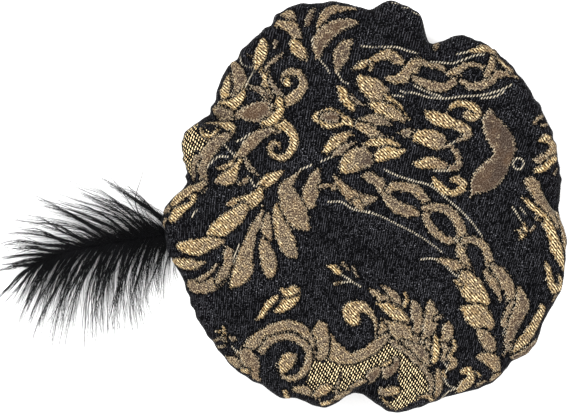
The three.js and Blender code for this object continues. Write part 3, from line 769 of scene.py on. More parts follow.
        (0.2, 0.2, [(382, 334, 1.8), (393, 342, 3), (404, 350, 3), (414, 359, 3), (424, 369, 3),
            (430, 380, 3.4), (432, 391, 3)]),
        (0.4, 0.4, [(437, 370, 3), (438, 381, 4.4), (437, 392, 4), (430, 399, 3)]),
        (0.7, 0.7, [(442, 370, 1.8), (444, 376, 2.4)]),
    ],
    "small volute at the bottom": [
        (0.45, 0.45, [(381, 322, 2), (382, 329, 5), (377, 333, 4)]),
        (0.4, 0.9, [(375, 331, 1.6), (375, 323, 2.2), (371, 314, 3.2), (365, 308, 5), (357, 306, 6.5),
            (350, 310, 8), (352, 317, 8), (356, 321, 4)]),
        (0.35, 0.55, [(386, 335, 3), (379, 342, 6), (370, 349, 6), (360, 355, 6), (349, 358, 6),
            (339, 354, 9), (330, 348, 10), (325, 339, 9)]),
        (0.45, 0.45, [(321, 327, 7), (319, 338, 10), (319, 350, 10)]),
    ],
    "large volute at the bottom left": [
        (0.4, 0.4, [(311, 357, 4), (313, 348, 3.5), (309, 338, 4), (303, 330, 5.5), (294, 325, 5.5),
            (283, 325, 5.5), (272, 329, 6), (262, 335, 6.5), (253, 342, 6.5), (245, 349, 5),
            (238, 353, 2.5)]),
        (0.3, 0.3, [(247, 355, 8), (251, 363, 9), (254, 372, 6), (259, 379, 2.5)]),
        (0.3, 0.4, [(262, 350, 4), (269, 341, 4.5), (279, 336.5, 3.6), (290, 336, 3.6), (300, 340, 3.8),
            (307, 347, 4), (309, 357, 4), (306, 367, 4), (299, 375, 3.6), (290, 378, 3), (282, 373, 3.4),
            (280, 365, 4)]),
        (0.8, 0.5, [(283, 368, 5), (287, 361, 8), (291, 357, 6)]),
        (0.4, 0.4, [(227, 357, 2.4), (234, 361, 5.5), (239, 365, 4)]),
        (0.7, 0.7, [(243, 370, 3.4), (247, 371, 4)]),
        (0.8, 0.8, [(285, 391, 3), (288, 398, 3)]),
        (0.4, 0.4, [(296, 389, 4), (304, 389, 5), (312, 393, 4), (319, 397, 3)]),
        (0.7, 0.7, [(322, 404, 3), (333, 401, 3)]),
    ],
    "sprigs on the ground": [
        (0.9, 0.9, [(217, 331, 1.2), (223, 332, 3), (226, 337, 2)]),
        (0.9, 0.9, [(224, 326, 1.6), (225, 332, 2.6)]),
        (0.2, 0.2, [(229, 335, 1.8), (235, 339, 2.2)]),
        (0.2, 0.2, [(214, 341, 1.6), (220, 338, 1.6), (226, 340, 1.2)]),
        (0.3, 0.3, [(218, 347, 1.4), (225, 345, 1.4)]),
        (0.8, 0.8, [(258, 318, 2.2), (263, 313, 3.4), (267, 306, 4), (273, 299, 3.6), (278, 296, 2)]),
        (0.9, 0.9, [(276, 310, 2.2), (283, 307, 5), (289, 301, 7), (295, 297, 5), (297, 291, 3)]),
        (0.9, 0.7, [(281, 288, 1.8), (286, 292, 4), (293, 290, 5), (298, 288, 2)]),
        (1, 1, [(328, 266, 1.6), (333, 267, 3.4), (337, 271, 3.8), (340, 274, 1.8)]),
        (0.4, 0.4, [(342, 263, 1.8), (346, 266, 1.8), (348, 269, 1.4)]),
        (0.1, 0.1, [(352, 266, 1.2), (355, 271, 1.8), (358, 277, 1.2)]),
        (0.6, 0.6, [(335, 283, 1.8), (341, 282, 1.8)]),
    ],
}

# Grounds of gold net
NETS = [
    [(193, 128, 5), (190, 138, 9), (188, 150, 8), (188, 162, 7), (190, 171, 5)],
    [(204, 136, 7), (201, 146, 6)],
    [(318, 368, 8), (320, 377, 12), (315, 388, 8)],
    [(331, 366, 8), (333, 376, 8), (334, 388, 5)],
    [(341, 366, 8), (346, 375, 9), (343, 387, 6)],
    [(352, 369, 8), (356, 376, 8), (364, 374, 7), (370, 370, 5)],
    [(363, 363, 8), (372, 361, 9), (381, 357, 9)],
    [(386, 345, 6), (391, 353, 9), (399, 358, 7)],
    [(404, 362, 8), (408, 374, 10), (412, 386, 14), (404, 397, 9), (396, 404, 7)],
    [(416, 370, 7), (422, 380, 8), (426, 390, 6)],
]
# Leaves that lie on the nets
ON_NETS = [
    (0.2, 0.1, [(385, 376, 3), (388, 370, 6.5), (392, 364, 7), (397, 357, 2)]),
    (0.9, 0.9, [(384, 364, 2.5), (389, 361, 3)]),
    (0.1, 0.2, [(369, 381, 4), (372, 375, 6.5), (377, 369, 4)]),
    (0.2, 0.8, [(380, 392, 3), (388, 391, 5), (396, 390, 4.5)]),
    (0.3, 0.5, [(351, 391, 2), (347, 393, 4.5), (340, 396, 4.5), (334, 399, 2)]),
    (0.2, 0.3, [(341, 372, 0.6), (338, 382, 1.5), (336, 392, 2)]),
    (0.3, 0.5, [(352, 387, 3.5), (358, 384, 4), (364, 381, 3)]),
    (0.5, 0.7, [(316, 394, 3.5), (324, 389, 6), (330, 386, 3)]),
    (0.7, 0.5, [(381, 397, 1.5), (386, 402, 2.4), (392, 408, 1.5)]),
    (0.6, 0.6, [(418, 396, 2), (427, 396, 3), (432, 400, 3)]),
]
# Thin woven lines: no width of their own
LINES = [
    [(361, 47), (375, 48), (395, 48), (408, 52), (419, 54)],
    [(430, 60), (441, 63), (452, 64), (463, 60), (475, 56), (484, 55)],
    [(456, 55), (465, 53), (474, 50)],
    [(392, 96), (404, 97)],
    [(400, 92), (415, 94), (428, 98), (445, 99), (460, 97), (478, 96), (492, 93), (503, 89), (511, 85)],
    [(480, 99), (494, 97), (503, 92)],
    [(413, 86), (425, 92), (440, 97)],
    [(384, 170), (397, 176), (413, 181), (430, 186), (446, 199), (460, 211), (472, 224), (481, 237)],
    [(328, 202), (341, 202), (352, 209), (366, 212), (380, 216), (396, 224), (412, 232), (428, 242),
        (441, 252)],
    [(420, 259), (430, 258), (439, 261), (447, 268), (455, 275), (462, 275)],
    [(300, 170), (312, 165)],
    [(320, 162), (332, 157)],
    [(281, 188), (290, 180), (299, 172)],
    [(313, 37), (312, 43), (315, 52), (319, 60), (325, 67), (329, 74)],
    [(337, 73), (341, 81), (348, 85)],
    [(258, 69), (247, 67), (241, 63), (240, 57)],
    [(255, 72), (249, 79), (246, 90)],
    [(228, 157), (219, 157), (212, 162), (206, 168)],
    [(224, 144), (229, 150), (236, 157)],
    [(236, 142), (243, 139), (250, 134)],
    [(250, 178), (254, 186)],
    [(234, 262), (236, 252), (239, 244)],
    [(192, 217), (197, 210)],
    [(433, 171), (449, 171)],
    [(448, 145), (456, 141), (465, 138)],
    [(511, 207), (515, 213), (519, 220)],
    [(519, 208), (524, 214)],
    [(441, 358), (447, 366), (455, 364)],
    [(447, 369), (443, 375), (447, 384), (455, 387)],
    [(441, 398), (448, 391), (458, 387)],
    [(501, 334), (505, 325)],
    [(232, 346), (238, 352)],
    [(341, 274), (349, 279), (353, 282), (360, 286)],
    [(341, 282), (351, 281)],
    [(391, 3), (398, 4)],
    [(402, 8), (408, 9)],
    [(412, 12), (419, 15)],
    [(532, 178), (540, 190), (549, 203), (560, 216)],
    [(497, 268), (505, 276), (510, 284)],
]
RING = (517, 164, 5.5)  # a small circle: its middle and its radius

# %% [markdown]
# A stroke becomes a smooth curve in the flat cloth, and every point of the mesh keeps its distance to the
# nearest stroke's outline: negative inside, positive on the ground. The material draws its outlines from
# that distance, so they stay crisp between the mesh's points. A later stroke lies on an earlier one with
# a thin dark gap round it.

# %% Distances to the pattern's strokes
STROKE_STEPS = 7
GAP = 0.75
FAR = 9.0
THINNEST_SIDE = 0.5
LIGHT_FACING_MOST = 1.5
RING_STEPS = 12
PAINTED_LIGHT_FROM = np.array([-0.97, 0.24])  # painted light falls from this side: figures are painted lighter and their outline's dots brighter on the side facing it, and painted shade darkens the other side


def smooth_run(points, steps=STROKE_STEPS):
    """A smooth curve through a few points: Catmull and Rom's spline."""
    rows = np.array(points, float)
    if len(rows) == 2:
        share = np.linspace(0, 1, steps + 1)[:, None]
        return rows[0] * (1 - share) + rows[1] * share
    padded = np.vstack([2 * rows[0] - rows[1], rows, 2 * rows[-1] - rows[-2]])
    share = np.linspace(0, 1, steps, endpoint=False)[:, None]
    pieces = []
    for a, b, c, d in zip(padded, padded[1:], padded[2:], padded[3:]):
        cubic = (3 * b - a - 3 * c + d) * share ** 3 + (2 * a - 5 * b + 4 * c - d) * share ** 2
        pieces.append(0.5 * (cubic + (c - a) * share + 2 * b))
    return np.vstack(pieces + [rows[-1:]])


def stroke_field(points, centre, half):
    """For the cloth near a stroke: distance to its outline, share of its length and how far its side faces
    the painted light.
    """
    low = centre.min(0) - half.max() - FAR
    high = centre.max(0) + half.max() + FAR
    near = np.nonzero(((points > low) & (points < high)).all(1))[0]
    spots = points[near]
    best = np.full(len(near), FAR)
    share = np.zeros(len(near))
    light_facing = np.zeros(len(near))
    pieces = len(centre) - 1
    for number in range(pieces):
        start = centre[number]
        step = centre[number + 1] - start
        along = np.clip(((spots - start) @ step) / max(step @ step, 1e-9), 0, 1)
        away = spots - start - along[:, None] * step
        gap = np.hypot(away[:, 0], away[:, 1])
        distance = gap - half[number] - (half[number + 1] - half[number]) * along
        closer = distance < best
        best[closer] = distance[closer]
        share[closer] = (number + along[closer]) / pieces
        width = np.maximum(half[number], THINNEST_SIDE)
        light_facing[closer] = np.clip((away @ PAINTED_LIGHT_FROM)[closer] / width, -LIGHT_FACING_MOST, LIGHT_FACING_MOST)
    return near, best, share, light_facing


def charted(points):
    """A stroke's centre line in the cloth and its half widths in millimetres, from its row of the chart."""
    curve = smooth_run(points)
    half = curve[:, 2] * PIXEL / MM if curve.shape[1] > 2 else np.zeros(len(curve))
    return cloth_of_pixel(curve[:, 0], curve[:, 1]), half


outside = ~is_lining
cloth_points = np.stack([cloth_x, cloth_y], axis=1)[outside]
motif = np.full(len(cloth_points), FAR)
gold = np.zeros(len(cloth_points))
rim = np.zeros(len(cloth_points))
net = np.full(len(cloth_points), FAR)
line = np.full(len(cloth_points), FAR)


def lay_stroke(first_gold, last_gold, centre, half):
    """Lays a stroke of the pattern over the earlier ones."""
    near, distance, share, light_facing = stroke_field(cloth_points, centre, half)
    motif[near] = np.maximum(motif[near], GAP - distance)
    closer = distance < motif[near]
    chosen = near[closer]
    motif[chosen] = distance[closer]
    gold[chosen] = first_gold + (last_gold - first_gold) * share[closer]
    # rim keeps how far a point faces the painted light, which paints the figure lighter or darker
    rim[chosen] = light_facing[closer]


def lay_line(centre):
    """Lays a line of single stitches."""
    near, distance, _, _ = stroke_field(cloth_points, centre, np.zeros(len(centre)))
    line[near] = np.minimum(line[near], distance)


for patch in NETS:
    near, distance, _, _ = stroke_field(cloth_points, *charted(patch))
    net[near] = np.minimum(net[near], distance)
for rows in [*MOTIFS.values(), ON_NETS]:
    for first_gold, last_gold, row in rows:
        lay_stroke(first_gold, last_gold, *charted(row))
for row in LINES:
    lay_line(charted(row)[0])
circle = np.linspace(0, 2 * math.pi, RING_STEPS + 1)
ring_row = [(RING[0] + RING[2] * math.cos(part), RING[1] + RING[2] * math.sin(part)) for part in circle]
lay_line(charted(ring_row)[0])
print("Strokes on the top:", sum(len(rows) for rows in MOTIFS.values()) + len(ON_NETS))

# %% [markdown]
# The photograph doesn't show the underside. The same cloth goes on there, so it carries a plain repeat of
# the same kind of leaves: two rings of sprays, each a stem with leaves on both sides, charted once and
# laid by a loop.

# %% The pattern of the underside
SPRAY = [
    # gold at the start and at the end, then points: round, out and half width, mm
    (0.2, 0.5, [(-13, -3, 0.8), (-6, 1, 1.2), (2, 0, 1.4), (10, 3, 0.8)]),
    (0.9, 0.5, [(-9, -1, 0.9), (-11, 5, 3.2), (-8, 11, 0.9)]),
    (0.8, 0.6, [(-2, 1, 0.9), (-3, 8, 3.4), (1, 13, 0.9)]),
    (0.3, 0.3, [(5, 2, 0.9), (6, 8, 3.0), (10, 12, 0.9)]),
    (0.5, 0.3, [(-5, 0, 0.9), (-4, -6, 3.0), (0, -10, 0.9)]),
    (0.9, 0.7, [(4, 1, 0.9), (6, -5, 3.2), (11, -8, 0.9)]),
    (0.2, 0.4, [(10, 3, 0.9), (15, 1, 3.0), (19, -4, 0.9)]),
]
SPRAY_SIZE = 1.5
SPRAY_RINGS = [
    # how far out past the crown's edge, how many sprays, and the first one's degrees
    (20, 20, 5),
    (56, 15, 0),
]
for past_edge, count, first in SPRAY_RINGS:
    for number in range(count):
        heading = math.radians(first + 360 * number / count)
        middle = float(cloth_run(1.0, edge_reach(np.array(heading)))) + past_edge
        outwards = np.array([math.cos(heading), math.sin(heading)])
        round_it = np.array([-outwards[1], outwards[0]])
        for first_gold, last_gold, row in SPRAY:
            curve = smooth_run(row) * SPRAY_SIZE
            centre = outwards * (middle + curve[:, 1:2]) + round_it * curve[:, 0:1]
            lay_stroke(first_gold, last_gold, centre, curve[:, 2])
print("Points of the cloth inside a stroke:", int((motif < 0).sum()), "of", len(motif))

# %% Put the cloth in its place and keep its attributes
PUFF = 0.35
PUFF_WIDTH = 1.7
NET_PUFF_SHARE = 0.25
SINK = 0.2
SINK_MIDDLE = 0.3
SINK_WIDTH = 0.8

puff = PUFF * ease(-motif / PUFF_WIDTH) - SINK * np.exp(-((motif - SINK_MIDDLE) / SINK_WIDTH) ** 2)
puff = np.maximum(puff, NET_PUFF_SHARE * PUFF * ease(-net / PUFF_WIDTH) + np.minimum(puff, 0))
lift[outside] += puff
radius = np.maximum(radius + outward * lift, 0)
at_middle = np.rint(ring) == 0
drape_x = np.where(at_middle, 0, radius * np.cos(angle))
drape_y = np.where(at_middle, 0, radius * np.sin(angle))
draped = np.stack([drape_x, drape_y, height + upward * lift], axis=1) * MM + AXIS
crown_mesh.vertices.foreach_set("co", draped.ravel())
crown_mesh.update()


def keep(name, values):
    """One number for each point of the crown's cloth, which the materials read by name."""
    full = np.full(len(places), FAR if name != "gold" else 0.0)
    full[outside] = values
    crown_mesh.attributes.new(name, "FLOAT", "POINT").data.foreach_set("value", full)


keep("motif", motif)
keep("gold", gold)
keep("rim", rim)
keep("net", net)
keep("line", line)
crown_mesh.attributes.new("weave", "FLOAT_VECTOR", "POINT").data.foreach_set("vector", weave.ravel())
print("The crown is", round(float(np.ptp(draped[:, 0])), 4), "m by",
      round(float(np.ptp(draped[:, 1])), 4), "m")

# %% [markdown]
# Brocade has a ground of fine black ribs, on which floating gold and bronze threads make the pattern.
# Where the chart says bronze, the threads lie close and are dull; where it says gold, they are long
# slanting floats with dark gaps between them. Each outline runs in steps, because it follows whole
# threads. It is dotted with light stitches, painted brighter on its left side, where painted light also
# makes the figure lighter; on its right side painted shade darkens the figure towards the ground. All of
# it is drawn from the attributes: the weave's own directions, and the distances to the outlines.

# %% The brocade's colours
BLACK = (0.0006, 0.0006, 0.0009, 1)
GREY = (0.082, 0.082, 0.093, 1)
LINT = (0.22, 0.22, 0.24, 1)
TONES = [
    # how golden, then the cloth's colour there
    (0.0, (0.042, 0.028, 0.0205, 1)),
    (0.35, (0.114, 0.084, 0.059, 1)),
    (0.65, (0.185, 0.129, 0.07, 1)),
    (1.0, (0.27, 0.18, 0.076, 1)),
]
NET_GOLD = TONES[2][1]
UMBER = (0.012, 0.007, 0.005, 1)
RUSSET = (0.16, 0.088, 0.04, 1)
CREAM = (0.88, 0.71, 0.41, 1)
BRONZE_GLEAM = (0.145, 0.117, 0.095, 1)
STITCH_LIGHT = (0.42, 0.37, 0.28, 1)
print("Colours of the figures:", len(TONES))

# %% The sizes and the strengths of its threads
RIB = 1.75 * MM
HATCH = 1.7 * MM
OUTLINE_DOT = 1.9 * MM
NET_STRIPE = 2.05 * MM
NET_CROSSING = NET_STRIPE * 1.15
HATCH_SLOPE = math.radians(40)
NET_SLOPE = math.radians(18)
RIB_SWAY = 1.6
HATCH_SWAY = 5.0
DOT_SWAY = 3.0
# How fine each unevenness is: steps to a metre across the weave, along it and through it
BROAD = (45, 45, 45)
PATCHY = (260, 260, 260)
THREAD = (1350, 190, 900)
GRAIN = (1250, 900, 700)
LINT_GRAIN = (930, 800, 860)
FLOATS = (1150, 380, 1)

RIB_LIGHT = 0.62
GREY_THREAD_LIGHT = 0.7
TONE_SPREAD = 1.2
TONE_SHIFT = -0.63
# Painted light: how much more golden a figure is painted on its side facing the light, and less on the
# other side
PAINTED_LIGHT_TONE = 0.14
RUSSET_SHARE = 0.3
HATCH_LIGHT = 0.55
FLOAT_LIGHT = 0.45
SHRINK = 0.42
# How ragged an outline is: by single floats, by the hatch and by patches, mm
FLOAT_STEP = 1.7
HATCH_STEP = 0.8
PATCH_STEP = 2.6
# Painted shade near a figure's outline: a little on its left side, much more on its right side
PAINTED_SHADE_LEFT = 0.06
PAINTED_SHADE_RIGHT = 0.4
STRIPE_LIGHT = 0.7
CROSSING_LIGHT = 0.4
NET_THREAD_LIGHT = 0.3
RIB_RELIEF = 0.5
RELIEF = 0.22 * MM
RELIEF_STRENGTH = 0.7

RAMPS = {
    # where a reading starts and ends, then what it gives there, which is 0 and 1 where nothing is said
    "thread": (0.36, 0.64),
    "grain": (0.34, 0.66),
    "rib": (0.45, 1.0),
    "rib's streaks": (0.2, 1.0, 0.25, 1.0),
    "grey thread": (0.92, 1.0),
    "grey thread's patches": (0.3, 0.7, 0.3, 1.0),
    "ground": (0.2, 1.2),
    "lint": (0.76, 0.82),
    "lint's patches": (0.4, 0.6, 0.2, 1.0),
    "lighter edge": (-3.2, -0.9, -0.08, 0.24),
    "golden": (0.25, 0.7),
    "russet's patches": (0.45, 0.65),
    "gap": (0.5, 0.25),
    "gap in gold": (0.0, 0.6, 0.5, 1.0),
    "cream": (0.0, 0.7),
    # painted highlight, with the gold thread's pale colour, on the floats' brightest threads
    "gleam": (0.63, 0.92),
    "gleam in gold": (-0.1, 0.8, 0.4, 1.0),
    "inside": (0.2, -0.2),
    "rim": (-1.1, -0.5),
    # painted highlight: how much brighter the outline's stitches are on the side facing the light
    "left side": (-0.2, 0.7, 0.3, 1.0),
    "right side": (0.1, -0.75),
    # painted shade: from inside a figure out to its outline
    "painted_shade": (-2.4, 0.2),
    "dot": (0.4, 0.7),
    "dot's thread": (0.05, 0.4, 0.4, 1.0),
    "net's gold": (0.73, 0.79),
    "net's cream": (0.79, 1.0),
    "line": (1.0, 0.5),
    "line's dot": (0.42, 0.7),
    "line's thread": (0.0, 0.4, 0.5, 1.0),
    # painted shade on the ground near a figure
    "painted shade round a figure": (0.2, 2.6, 0.3, 1.0),
    "gap round a figure": (1.0, 0.3),
}
print("Readings of the brocade:", len(RAMPS))


# %% [markdown]
# The material is built in parts, which all read the same few things: places in the weave, the distances
# to the pattern, and threads that are uneven at three sizes. These nodes are made once, and the parts
# share them, so that the parts line up.

# %% What all of the brocade's parts read
def brocade_threads(cloth):
    """Places in the weave, distances to the pattern, and how uneven its threads are."""
    weave_at = cloth.attribute("weave", "Vector")
    across, along, _ = cloth.split(weave_at)
    patchy = cloth.noise(cloth.stretch(weave_at, PATCHY), 1)
    slant = cloth.plus(cloth.times(across, math.sin(HATCH_SLOPE)),
                       cloth.times(along, math.cos(HATCH_SLOPE)))
    lengthways = cloth.math("SUBTRACT", cloth.times(across, math.cos(HATCH_SLOPE)),
                            cloth.times(along, math.sin(HATCH_SLOPE)))
    on_slant = cloth.node("ShaderNodeCombineXYZ")
    cloth.plug(slant, on_slant.inputs[0])
    cloth.plug(lengthways, on_slant.inputs[1])
    steep = cloth.plus(cloth.times(across, math.cos(NET_SLOPE)), cloth.times(along, -math.sin(NET_SLOPE)))
    floats = cloth.noise(cloth.stretch(on_slant.outputs[0], FLOATS), 0)
    return SimpleNamespace(
        weave_at=weave_at, patchy=patchy, slant=slant, steep=steep,
        motif=cloth.attribute("motif"), net=cloth.attribute("net"), line=cloth.attribute("line"),
        gold=cloth.attribute("gold"), rim=cloth.attribute("rim"),
        broad=cloth.noise(cloth.stretch(weave_at, BROAD), 2),
        thread=cloth.ramp(cloth.noise(cloth.stretch(weave_at, THREAD), 0), *RAMPS["thread"]),
        grain=cloth.ramp(cloth.noise(cloth.stretch(weave_at, GRAIN), 0), *RAMPS["grain"]),
        floats=cloth.ramp(floats, *RAMPS["grain"]),
        rib=cloth.wave(across, RIB, cloth.times(patchy, RIB_SWAY)),
        hatch=cloth.wave(slant, HATCH, cloth.times(patchy, HATCH_SWAY)),
        dot=cloth.wave(steep, OUTLINE_DOT, cloth.times(patchy, DOT_SWAY)),
    )


# %% [markdown]
# The ground is fine upright ribs of black thread, broken into short streaks where a thread dives under
# its neighbour. A wave across the weave gives the ribs, and a noise stretched along the threads breaks
# them, so no two streaks are alike. Single grey threads and lint keep the black from looking painted.

# %% The ground
def brocade_ground(cloth, on):
    """Near-vertical ribs, broken into short streaks, with single grey threads and a little lint."""
    rib_light = cloth.times(cloth.ramp(on.rib, *RAMPS["rib"]),
                            cloth.ramp(on.thread, *RAMPS["rib's streaks"]))
    grey_thread = cloth.times(cloth.ramp(on.grain, *RAMPS["grey thread"]),
                              cloth.ramp(on.broad, *RAMPS["grey thread's patches"]))
    light = cloth.plus(cloth.times(rib_light, RIB_LIGHT), cloth.times(grey_thread, GREY_THREAD_LIGHT))
    ground = cloth.blend(cloth.ramp(light, *RAMPS["ground"]), BLACK, GREY)
    lint = cloth.ramp(cloth.noise(cloth.stretch(on.weave_at, LINT_GRAIN), 0), *RAMPS["lint"])
    return cloth.blend(cloth.times(lint, cloth.ramp(on.broad, *RAMPS["lint's patches"])), ground, LINT)


# %% [markdown]
# A figure's colour goes by how golden the chart says it is. Four colours along one scale keep the change
# from bronze to gold soft, as it is where the two threads mix. Dark gaps between the floats make it
# woven, and a gleam lies on their brightest threads: partly the gold thread's pale colour, partly painted
# highlight.

# %% The figures
def brocade_figure(cloth, on):
    """A close grain where a figure is bronze, slanting floats where it is gold, a lighter edge, painted
    light on the side facing the light and a painted gleam on the floats.
    """
    tone = cloth.plus(on.gold, cloth.math("MULTIPLY_ADD", on.patchy, TONE_SPREAD, TONE_SHIFT))
    # Painted light: lighter on the side of a figure that faces the light, darker on the other side
    tone = cloth.plus(tone, cloth.times(on.rim, PAINTED_LIGHT_TONE))
    tone = cloth.plus(tone, cloth.ramp(on.motif, *RAMPS["lighter edge"]))
    golden = cloth.ramp(tone, *RAMPS["golden"])
    fill = TONES[0][1]
    for (low, _), (high, colour) in zip(TONES, TONES[1:]):
        fill = cloth.blend(cloth.ramp(tone, low, high), fill, colour)
    russet = cloth.times(cloth.ramp(on.broad, *RAMPS["russet's patches"]), RUSSET_SHARE)
    fill = cloth.blend(russet, fill, RUSSET)
    float_light = cloth.plus(cloth.times(on.hatch, HATCH_LIGHT), cloth.times(on.floats, FLOAT_LIGHT))
    bronze_light = cloth.times(on.grain, cloth.math("SUBTRACT", 1.0, golden))
    weave_light = cloth.plus(cloth.times(float_light, golden), bronze_light)
    gap = cloth.times(cloth.ramp(weave_light, *RAMPS["gap"]), cloth.ramp(tone, *RAMPS["gap in gold"]))
    fill = cloth.blend(gap, fill, UMBER)
    # Painted highlight: the floats' brightest threads are painted cream, or pale bronze where the figure is
    # bronze, partly the thread's own pale colour
    gleam = cloth.times(cloth.ramp(weave_light, *RAMPS["gleam"]), cloth.ramp(tone, *RAMPS["gleam in gold"]))
    return cloth.blend(gleam, fill, cloth.blend(cloth.ramp(tone, *RAMPS["cream"]), BRONZE_GLEAM, CREAM))


# %% [markdown]
# A woven outline has steps, because it can only follow whole threads. The distance to a figure's outline
# is moved in and out by single threads before it is cut, which gives such steps without a finer mesh.

# %% The figures' outlines
def outline_step(cloth, on):
    """How far an outline steps in or out, by whole threads and by a thread or two more."""
    step = cloth.plus(cloth.about_zero(on.floats, FLOAT_STEP), cloth.about_zero(on.hatch, HATCH_STEP))
    return cloth.plus(step, cloth.about_zero(on.patchy, PATCH_STEP))


def outlined(cloth, on, edge, fill):
    """The figures' colour with painted shade towards its outline, most on its right side, and light
    stitches along its outline, painted brighter on its left side.
    """
    # Painted shade: the figure darkens towards its outline, most on its right side, away from the light
    shade_by_side = cloth.math("MULTIPLY_ADD", cloth.ramp(on.rim, *RAMPS["right side"]), PAINTED_SHADE_RIGHT, PAINTED_SHADE_LEFT)
    painted_shade = cloth.times(cloth.ramp(on.motif, *RAMPS["painted_shade"]), shade_by_side)
    # Light stitches dot the outline all round; on the side facing the light they are painted brighter, a
    # painted highlight
    lit_rim = cloth.times(cloth.ramp(edge, *RAMPS["rim"]), cloth.ramp(on.rim, *RAMPS["left side"]))
    dots = cloth.times(cloth.ramp(on.dot, *RAMPS["dot"]), cloth.ramp(on.thread, *RAMPS["dot's thread"]))
    return cloth.blend(cloth.times(lit_rim, dots), cloth.blend(painted_shade, fill, UMBER), STITCH_LIGHT)


# %% The nets and the thin lines
def brocade_net(cloth, on):
    """Steep gold stripes, broken by slanting gaps."""
    stripe = cloth.times(cloth.wave(on.steep, NET_STRIPE), STRIPE_LIGHT)
    light = cloth.plus(stripe, cloth.times(cloth.wave(on.slant, NET_CROSSING), CROSSING_LIGHT))
    light = cloth.plus(light, cloth.about_zero(on.thread, NET_THREAD_LIGHT))
    net = cloth.blend(cloth.ramp(light, *RAMPS["net's gold"]), BLACK, NET_GOLD)
    return cloth.blend(cloth.ramp(light, *RAMPS["net's cream"]), net, CREAM)


def line_of_stitches(cloth, on):
    """Where a single stitch of a thin line lies."""
    dots = cloth.times(cloth.ramp(on.line, *RAMPS["line"]), cloth.ramp(on.dot, *RAMPS["line's dot"]))
    return cloth.times(dots, cloth.ramp(on.thread, *RAMPS["line's thread"]))


# %% The brocade
def brocade_finish():
    """Ground, nets, lines and figures laid over each other, with painted shade darkening the ground round
    each figure.
    """
    cloth = Finish("black_and_gold_brocade", roughness=0.6, specular=0.02)
    on = brocade_threads(cloth)
    step = outline_step(cloth, on)
    edge = cloth.plus(cloth.plus(on.motif, SHRINK), step)
    inside = cloth.ramp(edge, *RAMPS["inside"])
    in_net = cloth.ramp(cloth.plus(on.net, step), *RAMPS["inside"])
    # Painted shade: the ground's grey ribs darken to black near each figure
    unshaded_ground = cloth.ramp(on.motif, *RAMPS["painted shade round a figure"])
    colour = cloth.blend(unshaded_ground, BLACK, brocade_ground(cloth, on))
    colour = cloth.blend(in_net, colour, brocade_net(cloth, on))
    colour = cloth.blend(cloth.ramp(on.motif, *RAMPS["gap round a figure"]), colour, BLACK)
    colour = cloth.blend(line_of_stitches(cloth, on), colour, STITCH_LIGHT)
    cloth.colour(cloth.blend(inside, colour, outlined(cloth, on, edge, brocade_figure(cloth, on))))
    figure = cloth.times(cloth.plus(on.hatch, on.floats), inside)
    cloth.bump(cloth.plus(figure, cloth.times(on.rib, RIB_RELIEF)), RELIEF, RELIEF_STRENGTH)
    return cloth.material


# %% The lining, and the crown's cloth
LINING_GRAIN = (2200, 2200, 2200)
LINING_DARK = (0.006, 0.006, 0.007, 1)
LINING_LIGHT = (0.022, 0.022, 0.025, 1)


def lining_finish():
    cloth = Finish("black_lining", roughness=0.75, specular=0.1)
    place = cloth.node("ShaderNodeTexCoord").outputs["Object"]
    thread = cloth.noise(cloth.stretch(place, LINING_GRAIN), 2)
    cloth.colour(cloth.blend(cloth.ramp(thread, 0.3, 0.7), LINING_DARK, LINING_LIGHT))
    cloth.bump(thread, distance=0.1 * MM, strength=0.6)
    return cloth.material


crown = mesh_object("crown_cloth", crown_mesh, brocade_finish(), lining_finish())
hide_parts("crown")
print("Crown cloth:", len(crown_mesh.polygons), "faces")

# %% [markdown]
# The headband hides under the crown. It is a strip of black ribbed cloth folded over a stiffener and sewn
# to a ring: its edges are rolled, a row of stitches runs along each of them, and its ends meet at the
# back in a seam. Its profile is a rectangle with rounded corners, which a spin turns into a ring.

# %% The headband
BAND_WALL = 3
BAND_EDGE = 1.1
BAND_STEPS = 200
BAND_ROWS = 16
STITCH_ROW = 4.2  # from each edge of the band
STITCH_DIMPLE = 0.35
BACK_SEAM_AT = 7  # degrees, away from the plume
STITCH_DIMPLE_WIDTH = 1.2
SEAM_DIMPLE = 0.5
SEAM_DIMPLE_WIDTH = 1.0
BAND_SWELL = 0.12
BAND_SWELLS = 9
BAND_SWELL_TWIST = 0.11  # radians for each millimetre up
INSET = 0.1  # the cloth lies this far inside its solid
BAND_RADIUS = BAND_OUTER - BAND_WALL / 2


def ring_of(profile_width, profile_height, rounding, rows, radius, low, steps):
    """A ring with a rounded section, in millimetres: a grid's outline, bevelled and spun round the axis."""
    bm = bmesh.new()
    bmesh.ops.create_grid(bm, x_segments=1, y_segments=rows, size=0.5)
    bmesh.ops.delete(bm, geom=bm.faces[:], context="FACES_ONLY")
    inner = [edge for edge in bm.edges if abs(edge.verts[0].co.y - edge.verts[1].co.y) < 1e-6
             and abs(edge.verts[0].co.y) < 0.499]
    bmesh.ops.delete(bm, geom=inner, context="EDGES")
    bmesh.ops.scale(bm, verts=bm.verts, vec=(profile_width, profile_height, 1))
    corners = [vert for vert in bm.verts if abs(vert.co.y) > profile_height / 2 - 1e-6]
    bmesh.ops.bevel(bm, geom=corners, offset=rounding, segments=4, profile=0.5, affect="VERTICES",
                    material=-1)
    for vert in bm.verts:
        vert.co = (radius + vert.co.x, 0, low + profile_height / 2 + vert.co.y)
    bmesh.ops.spin(bm, geom=bm.verts[:] + bm.edges[:], cent=(0, 0, 0), axis=(0, 0, 1), angle=2 * math.pi,
                   steps=steps, use_merge=True)
    bmesh.ops.remove_doubles(bm, verts=bm.verts, dist=1e-4)
    bmesh.ops.recalc_face_normals(bm, faces=bm.faces)
    return bm


